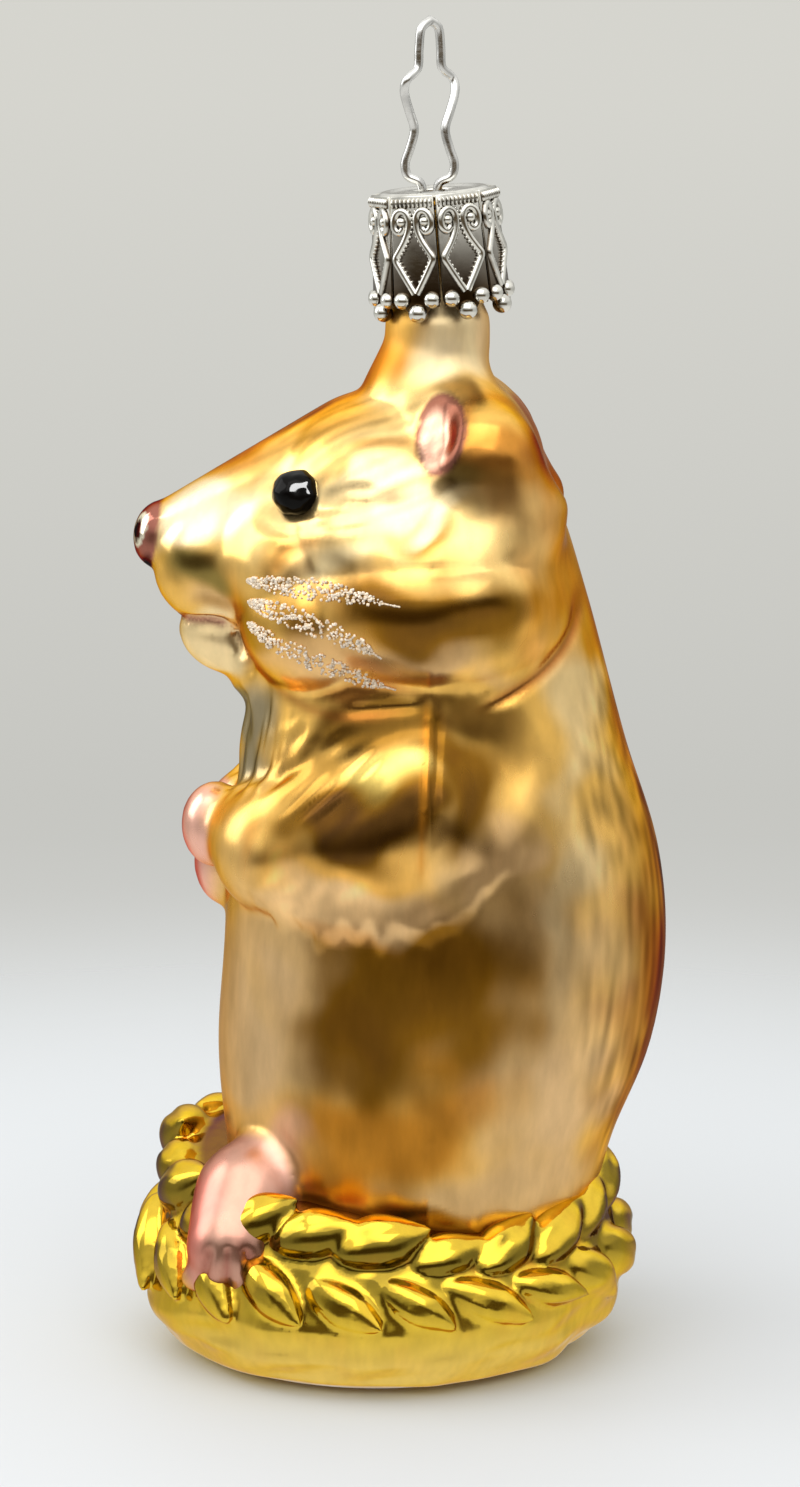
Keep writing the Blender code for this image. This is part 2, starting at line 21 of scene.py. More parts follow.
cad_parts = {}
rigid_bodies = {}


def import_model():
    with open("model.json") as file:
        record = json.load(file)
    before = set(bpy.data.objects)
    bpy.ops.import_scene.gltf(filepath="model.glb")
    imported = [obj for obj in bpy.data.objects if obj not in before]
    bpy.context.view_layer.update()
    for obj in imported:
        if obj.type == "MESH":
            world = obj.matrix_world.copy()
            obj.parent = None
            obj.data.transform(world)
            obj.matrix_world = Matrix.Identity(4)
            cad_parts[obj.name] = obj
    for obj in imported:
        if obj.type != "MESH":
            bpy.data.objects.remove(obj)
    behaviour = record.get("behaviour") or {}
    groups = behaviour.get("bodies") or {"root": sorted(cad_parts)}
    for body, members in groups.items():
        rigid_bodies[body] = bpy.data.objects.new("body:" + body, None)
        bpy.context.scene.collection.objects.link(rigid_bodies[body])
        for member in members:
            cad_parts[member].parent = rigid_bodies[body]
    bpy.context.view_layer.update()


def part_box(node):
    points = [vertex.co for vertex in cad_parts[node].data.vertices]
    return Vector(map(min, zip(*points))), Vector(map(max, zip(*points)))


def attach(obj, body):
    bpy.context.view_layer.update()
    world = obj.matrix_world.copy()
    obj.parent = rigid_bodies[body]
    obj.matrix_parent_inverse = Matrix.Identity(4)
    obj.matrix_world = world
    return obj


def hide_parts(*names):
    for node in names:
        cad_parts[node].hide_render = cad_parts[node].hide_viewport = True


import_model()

MM = 0.001


# ---- Places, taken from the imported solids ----


def place_of(node):
    """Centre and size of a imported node, in millimetres."""
    low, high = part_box(node)
    return (low + high) / 2 / MM, (high - low) / MM


TUBE_CENTRE, TUBE_SIZE = place_of("neck_tube")
NECK_X = TUBE_CENTRE.x
NECK_RADIUS = TUBE_SIZE.y / 2
NECK_TOP = TUBE_CENTRE.z + TUBE_SIZE.z / 2
EYE_CENTRE, EYE_SIZE = place_of("eye_left")
EYE_RADIUS = EYE_SIZE.x / 2


# ---- Forms of the figure ----

# Trunk: height, front x, back x, half width
TRUNK_STATIONS = (
    (10.5, -9, 15.5, 12), (13.5, -13.6, 18.4, 15), (20, -14.8, 20.4, 15.8),
    (28, -15.4, 23.6, 16.3), (37, -14.8, 24.9, 16.8), (46, -14.3, 24.1, 16.2),
    (55, -12.9, 21.3, 14.8), (62, -12.2, 19.4, 13.2), (69, -9, 17.5, 12.6),
    (76, -5, 15.3, 11), (82, 0, 12.4, 8),
)
TRUNK_SIDES = 72

# Balls on the midline: centre, radii, pitch in degrees about Y
MIDLINE_BALLS = (
    ((2, 0, 76.6), (13, 12.6, 10), 12),  # skull
    ((-14.3, 0, 64.9), (4.5, 3.6, 3.5), 20),  # lower lip
    ((-8.5, 0, 62.5), (6, 6.5, 5), 0),  # throat
    ((-8.5, 0, 54), (4.6, 7.5, 9), 0),  # chest
    ((-20.3, 0, 73.9), (2.4, 2.9, 3.1), 10),  # nose
    ((7.2, 0, 79.8), (6.8, 12.4, 7.9), 0),  # crown between the ears
)
PAIRED_BALLS = (
    ((-15, -2, 70.2), (5.9, 3.6, 4.5), 18),  # upper lip
    ((-14.4, -2.2, 72), (6, 4.2, 4.4), 14),  # muzzle
    ((3, -6.2, 68.2), (12.8, 9.4, 8.9), 4),  # cheek
    ((-5, -5.2, 67), (8.4, 8.2, 7.4), 18),  # jowl
    ((-6, -4.6, 71.5), (9, 7.2, 6.4), 12),  # under the eye
    ((2, -6.4, 73.6), (11.5, 8.2, 6.2), 4),  # temple
    ((8.2, -5.8, 75.6), (7.8, 7, 6.4), -12),  # below the ear
    ((7.8, -7.6, 80.6), (6, 5, 6.6), 0),  # ear
    ((6, -4, 82.6), (6.6, 6, 6), 0),  # root of the ear
)
# Limbs: the centres and radii of the balls that each is stretched over
SNOUT = (((-1, 0, 77.6), 9.2), ((-18.6, 0, 73.7), 3.6))
NECK_ROOT = (((3.2, 0, 85.2), 5.9), ((4.2, 0, 90), NECK_RADIUS))
ARM = (((3.4, -7.5, 50.6), 10.2), ((-9.4, -7, 47), 6.2), ((-12.6, -4.6, 48), 3.9))
PAWS = (
    ((-15.4, -3, 48.3), (3.1, 3.2, 3.9), 0),  # left
    ((-14.6, 2.4, 43.9), (3, 3.4, 4.2), 0),  # right, below it
)
FOOT = (((-12.4, -10, 16.4), 4.9), ((-13.6, -13.4, 12.4), 4.3))
RIGHT_FOOT_TURN = -14  # degrees about +Z from the left foot's mirror image
TOE_RADIUS = 1.25
TOE_REACH = 4.5
TOE_ROOT_OUT, TOE_ROOT_DOWN = 1, 0.4  # where a toe's root is, beside the foot's end
TOE_FANS = (-50, -18, 14, 48)
# The neck tube's outline below its top: radius, height
NECK_COLLAR = ((0, 86), (4.65, 86), (4.65, 93.2), (3.9, 94.6))


def matrix_of(centre, radii, pitch):
    """Stretches a unit ball to its radii, turns it about Y and moves it to its centre."""
    turn = Matrix.Rotation(math.radians(pitch), 4, "Y")
    return Matrix.Translation(centre) @ turn @ Matrix.Diagonal((*radii, 1))


def flipped(point):
    return (point[0], -point[1], point[2])


def add_ball(bm, centre, radii, pitch=0, fineness=4):
    bmesh.ops.create_icosphere(
        bm, subdivisions=fineness, radius=1, matrix=matrix_of(centre, radii, pitch)
    )


def add_limb(bm, balls, fineness=4):
    """A rounded body stretched over a few balls."""
    limb = bmesh.new()
    for centre, radius in balls:
        add_ball(limb, centre, (radius,) * 3, fineness=fineness)
    bmesh.ops.delete(limb, geom=list(limb.edges) + list(limb.faces), context="EDGES_FACES")
    hull = bmesh.ops.convex_hull(limb, input=limb.verts)
    inside = [item for item in hull["geom_interior"] if isinstance(item, bmesh.types.BMVert)]
    bmesh.ops.delete(limb, geom=inside, context="VERTS")
    join_in(bm, limb)


def join_in(bm, other):
    """Moves another bmesh's faces into this one."""
    mesh = bpy.data.meshes.new("joined")
    other.to_mesh(mesh)
    other.free()
    bm.from_mesh(mesh)
    bpy.data.meshes.remove(mesh)


def add_stack(bm, stations, sides):
    """A closed body through ellipses, one at each height."""
    rings = []
    for height, front, back, half_width in stations:
        ring = bmesh.ops.create_circle(bm, cap_ends=False, segments=sides, radius=1)["verts"]
        bmesh.ops.scale(bm, vec=((back - front) / 2, half_width, 1), verts=ring)
        bmesh.ops.translate(bm, vec=((front + back) / 2, 0, height), verts=ring)
        rings.append(ring)
    for lower, upper in zip(rings, rings[1:]):
        edges = {edge for ring in (lower, upper) for vert in ring for edge in vert.link_edges}
        level = [e for e in edges if abs(e.verts[0].co.z - e.verts[1].co.z) < 1e-6]
        bmesh.ops.bridge_loops(bm, edges=level)
    bmesh.ops.holes_fill(bm, edges=bm.edges, sides=0)
    bmesh.ops.recalc_face_normals(bm, faces=bm.faces)


def spin_round(bm, geom, sides):
    """Turns an outline about the Z axis into a closed body."""
    bmesh.ops.spin(
        bm, geom=geom, axis=(0, 0, 1), cent=(0, 0, 0), angle=math.tau, steps=sides,
        use_merge=True,
    )
    bmesh.ops.remove_doubles(bm, verts=bm.verts, dist=1e-4)
    bmesh.ops.recalc_face_normals(bm, faces=bm.faces)


def add_turned(bm, profile, centre, sides):
    """A turned body from an outline of radius and height that starts and ends on its axis."""
    verts = [bm.verts.new((radius, 0, height)) for radius, height in profile]
    edges = [bm.edges.new(pair) for pair in zip(verts, verts[1:])]
    spin_round(bm, verts + edges, sides)
    bmesh.ops.translate(bm, vec=centre, verts=bm.verts)


def smooth_rows(rows, steps):
    """Rows of numbers between the given ones, on a curve through each of them."""
    made = []
    last = len(rows) - 1
    for i in range(last):
        four = [np.array(rows[min(max(k, 0), last)]) for k in (i - 1, i, i + 1, i + 2)]
        before, a, b, after = four
        for step in range(steps):
            t = step / steps
            pull = 2 * a + (b - before) * t
            bend = (2 * before - 5 * a + 4 * b - after) * t * t
            twist = (3 * a - before - 3 * b + after) * t**3
            made.append(tuple(0.5 * (pull + bend + twist)))
    made.append(tuple(rows[-1]))
    return made


def new_object(name, bm):
    """An object, still in millimetres, from a bmesh."""
    mesh = bpy.data.meshes.new(name)
    bm.to_mesh(mesh)
    bm.free()
    return linked(name, mesh)


def linked(name, data):
    """A new object of the scene around its data."""
    made = bpy.data.objects.new(name, data)
    bpy.context.collection.objects.link(made)
    return made


def apply_modifiers(made):
    graph = bpy.context.evaluated_depsgraph_get()
    baked = bpy.data.meshes.new_from_object(made.evaluated_get(graph))
    made.modifiers.clear()
    made.data = baked


def soften(made, passes):
    smooth = made.modifiers.new("soften", "SMOOTH")
    smooth.factor = 0.5
    smooth.iterations = passes
    apply_modifiers(made)


def melt(made, voxel, passes):
    """Melts overlapping forms into one smooth closed skin."""
    remesh = made.modifiers.new("melt", "REMESH")
    remesh.mode = "VOXEL"
    remesh.voxel_size = voxel
    apply_modifiers(made)
    soften(made, passes)


def to_metres(made, finish):
    """Finishes a piece: its place goes into its mesh in metres, and it gets its material."""
    made.data.transform(Matrix.Scale(MM, 4))
    made.data.shade_smooth()
    made.data.materials.append(finish)
    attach(made, "root")


# ---- Reading and moving the vertices of a skin ----

FAINT = 0.01  # a share below this is left out
LINE_FADE, LINE_TIP = 6, 0.25  # how steeply a line fades to its tips, and its strength there


def points_of(made):
    flat = np.empty(len(made.data.vertices) * 3)
    made.data.vertices.foreach_get("co", flat)
    return flat.reshape(-1, 3)


def normals_of(made):
    flat = np.empty(len(made.data.vertices) * 3)
    made.data.vertex_normals.foreach_get("vector", flat)
    return flat.reshape(-1, 3)


def move_points(made, points):
    made.data.vertices.foreach_set("co", points.ravel())
    made.data.update()


def rise(value, low, high):
    """0 below low, 1 above high and a smooth step between."""
    t = np.clip((value - low) / (high - low), 0, 1)
    return t * t * (3 - 2 * t)


def side_on(points):
    """The points with their sides folded onto the left one."""
    folded = points.copy()
    folded[:, 1] = -np.abs(folded[:, 1])
    return folded


def ball_share(points, centre, radii, soft, pitch=0):
    """1 well inside a ball and 0 outside it. Soft is the share of the radius that it fades over."""
    away = points - np.array(centre)
    turn = math.radians(pitch)
    along = away[:, 0] * math.cos(turn) - away[:, 2] * math.sin(turn)
    up = away[:, 0] * math.sin(turn) + away[:, 2] * math.cos(turn)
    reach = np.sqrt(
        (along / radii[0]) ** 2 + (away[:, 1] / radii[1]) ** 2 + (up / radii[2]) ** 2
    )
    return rise(1 - reach, 0, soft)


def line_share(points, route, width):
    """A bump across a line that is drawn on the side of the figure, fading to its two ends."""
    route = np.array(smooth_rows(route, 4))
    flat = points[:, [0, 2]]
    nearest = np.full(len(flat), 1e9)
    place = np.zeros(len(flat))
    count = len(route) - 1
    for i in range(count):
        start, step = route[i], route[i + 1] - route[i]
        t = np.clip((flat - start) @ step / max(step @ step, 1e-9), 0, 1)
        gap = np.linalg.norm(flat - start - t[:, None] * step, axis=1)
        closer = gap < nearest
        nearest[closer] = gap[closer]
        place[closer] = (i + t[closer]) / count
    ends = np.clip(np.minimum(place, 1 - place) * LINE_FADE, 0, 1)
    return np.exp(-((nearest / width) ** 2)) * (LINE_TIP + (1 - LINE_TIP) * ends)


def grain(points, mask, scale, lay=0, stretch=1, seed=0):
    """Noise drawn out along a lay, in degrees up from +X on the side of the figure."""
    turn = math.radians(lay)
    along = (points[:, 0] * math.cos(turn) + points[:, 2] * math.sin(turn)) / (scale * stretch)
    across = (points[:, 2] * math.cos(turn) - points[:, 0] * math.sin(turn)) / scale
    made = np.zeros(len(points))
    for i in np.nonzero(mask)[0]:
        made[i] = noise.noise((along[i] + seed, across[i] - seed, points[i, 1] / scale))
    return made


def relaxed(made, passes):
    """The points of a skin, each drawn towards its neighbours a number of times."""
    points = points_of(made)
    edges = np.empty(len(made.data.edges) * 2, dtype=int)
    made.data.edges.foreach_get("vertices", edges)
    a, b = edges.reshape(-1, 2).T
    here, there = np.concatenate((a, b)), np.concatenate((b, a))
    count = np.bincount(here, minlength=len(points))
    for _ in range(passes):
        total = [np.bincount(here, points[there, axis], len(points)) for axis in range(3)]
        points = (points + np.stack(total, axis=1) / count[:, None]) / 2
    return points


def hollowness(made, passes):
    """How far each vertex lies below its surroundings: positive in creases, negative on crests."""
    return np.einsum("ij,ij->i", relaxed(made, passes) - points_of(made), normals_of(made))


# ---- Relief on the figure ----

# Where the joined forms melt together without a crease: centre and radii
MELTED_PARTS = (
    ((8, -8, 77.5), (9.5, 12, 6)),
    ((7, -4, 87), (8, 9, 4.5)),
    ((-1, -14, 44), (14, 8, 5)),
    ((12, -12, 48), (7, 9, 13)),
    ((15.5, -9, 71.5), (5, 9, 7.5)),
    ((-12, -5, 73.5), (8, 8, 6.5)),
    ((-12.2, -11, 18), (6, 8, 5)),
    ((12.5, -4, 82.5), (6, 9, 7.5)),
)
MELT_PASSES, MELT_SOFTNESS = 70, 0.4
SOFTEN_PASSES = 2
LINES_FACING = (0.1, 0.45)  # lines fade out where the skin faces sideways less than this
# Dents: depth in millimetres, centre, radii, share of the radius they fade over, pitch
DENTS = (
    (-1.3, (1.5, -14, 69.3), (12, 8, 6.6), 1, 2),  # the cheek, a swelling
    (-0.9, (9.6, -13, 71.6), (5.6, 8, 6), 1, 0),  # the cheek's rear
    (0.4, (2.2, -14, 75.8), (4.2, 8, 2.2), 1, 4),  # hollow above it
    (1.3, (4.3, -10, 84.2), (2.3, 6, 4), 0.9, 6),  # inner ear
    (1, (8.4, -14, 55.5), (5.2, 8, 8), 0.8, 0),  # hollow behind the arm
    (-0.9, (-2.5, -14, 47.4), (11, 9, 6.2), 1, -8),  # the arm, a swelling
)

# The ragged lower edge of the arm's fur, as (x, z), and how far it stands off the body
ARM_EDGE = (
    (-13, 45), (-10.4, 41.4), (-6, 40.6), (-1, 41.2), (3.5, 40.8), (7, 42.8),
    (10, 45.8), (13.5, 50.5),
)
ARM_EDGE_STEP = 0.5
ARM_EDGE_NOTCH, NOTCH_WIDTH, NOTCH_STRETCH = 1.5, 1.1, (1, 1, 0.25)
# Heights over the edge and reaches along x and out along y that the shelf rises or fades over
SHELF_RISE, SHELF_FADE = (-0.9, 1), (1, 7)
SHELF_FRONT, SHELF_BACK, SHELF_SIDE = (-13.5, -10), (5, 13.5), (6, 9)

# Lines drawn on the side as (x, z) routes
CHEEK_FRONT = ((-9.9, 71.6), (-9.3, 73.5), (-7.7, 74.6), (-5.6, 75.2))
TOE_CLEFTS = (
    ((-15.6, 13.4), (-16.2, 11), (-16.6, 8.6)),
    ((-14.1, 13.6), (-14.2, 11), (-14.2, 8)),
    ((-12.6, 13.4), (-12, 11), (-11.6, 8.6)),
)
# Each line: rise in millimetres (below zero cuts in), width, route
RELIEF_LINES = (
    (-0.62, 0.42, ((-19.4, 66.9), (-17.6, 66.7), (-15.6, 66.8), (-14.1, 66.4))),  # mouth
    (-0.3, 0.5, ((-14, 66.6), (-12.9, 64.9), (-12.1, 63.2), (-12.6, 61.8))),
    (-0.12, 0.6, ((-6, 78.6), (-4.4, 79), (-3.1, 79.4), (-0.9, 79.4))),  # by the eye
    (-0.12, 0.6, ((-6.2, 77.4), (-3.9, 77.9), (-1.4, 78.2))),
    (-0.14, 0.45, ((-11.2, 76.1), (-9, 75.5), (-7.3, 75.8), (-4.6, 76.6), (-2, 77))),
    (0.1, 0.5, ((-10.6, 75), (-8.4, 74.6), (-6, 75.2), (-3.6, 75.9), (-1, 76.4))),
    (-0.16, 0.7, CHEEK_FRONT),
    (-0.35, 0.55, ((16.6, 69.4), (16.3, 66.7), (14.3, 63.9), (11.3, 61.9), (8.6, 60.6))),
    (-0.3, 0.5, ((-3.6, 60.2), (-0.6, 60.6), (2.6, 60.9))),  # under the cheek
    (0.32, 0.32, ((3.5, 61.5), (3.4, 57), (3.1, 52), (3, 48.2))),  # mould seam
    (-0.22, 0.3, ((4.3, 61), (4.2, 57), (3.9, 52), (3.7, 48.2))),
    (0.1, 0.35, ((3.6, 40), (3.6, 34), (3.6, 24), (3.6, 12))),
    *((-0.4, 0.45, route) for route in TOE_CLEFTS),
    (0.08, 0.3, ((3.4, 72), (3.5, 69), (3.6, 65), (3.6, 61.5))),
)

STROKE_SOFTNESS = 0.5
# Fur strokes: centre, radii, lay in degrees, width, length to width, depth
FUR_RELIEF = (
    ((-11, -3, 55.5), (5.5, 9, 7.5), 82, 1.15, 5, 0.5),  # chest
    ((-5.5, -11, 54.6), (8, 9, 5.6), 38, 1.25, 5, 0.36),  # top of the arm
    ((-4, -14, 42.4), (9, 9, 3), 86, 2.2, 3, 0.1),  # lower edge of the arm
    ((-6, -12, 32), (12, 14, 12), 98, 3.4, 3, 0.16),  # belly and side
    ((15, -9, 42), (11, 18, 24), 82, 3.2, 4, 0.16),  # back
    ((2, -12, 21), (18, 18, 8), 94, 2.4, 3, 0.2),  # seat
    ((-3, -10, 79), (9, 12, 6), 18, 2, 4, 0.16),  # temple
    ((4, -14, 68), (13, 10, 7.5), 12, 3.4, 2.4, 0.34),  # cheek
    ((14, -6, 62), (7, 14, 12), 105, 2.8, 4, 0.16),  # nape
)


def arm_shelf(points):
    """How far the fur under the arm stands off the body, with a notched lower edge."""
    x, out = points[:, 0], -points[:, 1]
    above = points[:, 2] - np.interp(x, *zip(*ARM_EDGE))
    ends = rise(x, *SHELF_FRONT) * (1 - rise(x, *SHELF_BACK)) * rise(out, *SHELF_SIDE)
    near = (ends > 0) & (np.abs(above) < SHELF_FADE[1])
    notches = grain(points * NOTCH_STRETCH, near, NOTCH_WIDTH, seed=2)
    upright = rise(above - ARM_EDGE_NOTCH * notches, *SHELF_RISE)
    return ARM_EDGE_STEP * upright * (1 - rise(above, *SHELF_FADE)) * ends


def sculpt_figure(made):
    """Melts the soft parts together, presses the dents and works lines and fur into the skin."""
    points = points_of(made)
    folded = side_on(points)
    share = np.zeros(len(points))
    for centre, radii in MELTED_PARTS:
        share = np.maximum(share, ball_share(folded, centre, radii, MELT_SOFTNESS))
    points += (relaxed(made, MELT_PASSES) - points) * share[:, None]
    move_points(made, points)
    normals, folded = normals_of(made), side_on(points)
    for depth, centre, radii, soft, pitch in DENTS:
        points -= normals * (depth * ball_share(folded, centre, radii, soft, pitch))[:, None]
    points += normals * arm_shelf(folded)[:, None]
    move_points(made, points)
    soften(made, SOFTEN_PASSES)

    points, normals = points_of(made), normals_of(made)
    folded = side_on(points)
    sideways = rise(np.abs(normals[:, 1]), *LINES_FACING)
    lift = np.zeros(len(points))
    for height, width, route in RELIEF_LINES:
        lift += height * line_share(folded, route, width) * sideways
    for centre, radii, lay, width, stretch, depth in FUR_RELIEF:
        share = ball_share(folded, centre, radii, STROKE_SOFTNESS)
        strokes = grain(points, share > FAINT, width, lay, stretch, seed=centre[2])
        lift += share * strokes * depth
    move_points(made, points + normals * lift[:, None])


# ---- Lacquer colours, and colours of painted shade, highlights and reflections ----

LACQUER_AND_PAINTED_LIGHT = {
    "gold": (0.88, 0.52, 0.12),
    "pale gold": (0.92, 0.64, 0.26),
    "cream": (0.95, 0.76, 0.44),
    "silver gold": (0.76, 0.50, 0.23),
    "beige": (0.80, 0.54, 0.28),
    "peach": (0.92, 0.60, 0.29),
    "skin": (0.84, 0.50, 0.36),
    "white": (0.97, 0.91, 0.72),
    "highlight lemon": (1, 0.82, 0.22),
    "apricot": (0.92, 0.50, 0.11),
    "orange": (0.68, 0.26, 0.025),
    "rust": (0.42, 0.13, 0.025),
    "copper": (0.36, 0.13, 0.035),
    "shade umber": (0.21, 0.09, 0.004),
    "shade walnut": (0.10, 0.044, 0.003),
    "bronze": (0.31, 0.135, 0.004),
    "reflection olive": (0.26, 0.19, 0.05),
    "slate": (0.30, 0.29, 0.22),
    "pink": (0.80, 0.27, 0.22),
    "rose": (0.58, 0.32, 0.24),
    "rosewood": (0.22, 0.08, 0.055),
    "pale pink": (0.92, 0.52, 0.42),
    "rose brown": (0.40, 0.15, 0.11),
    "dark rose": (0.10, 0.03, 0.025),
    "straw": (1, 0.68, 0.05),
    "shaded straw": (0.25, 0.17, 0.01),
    "amber": (0.62, 0.24, 0.015),
}
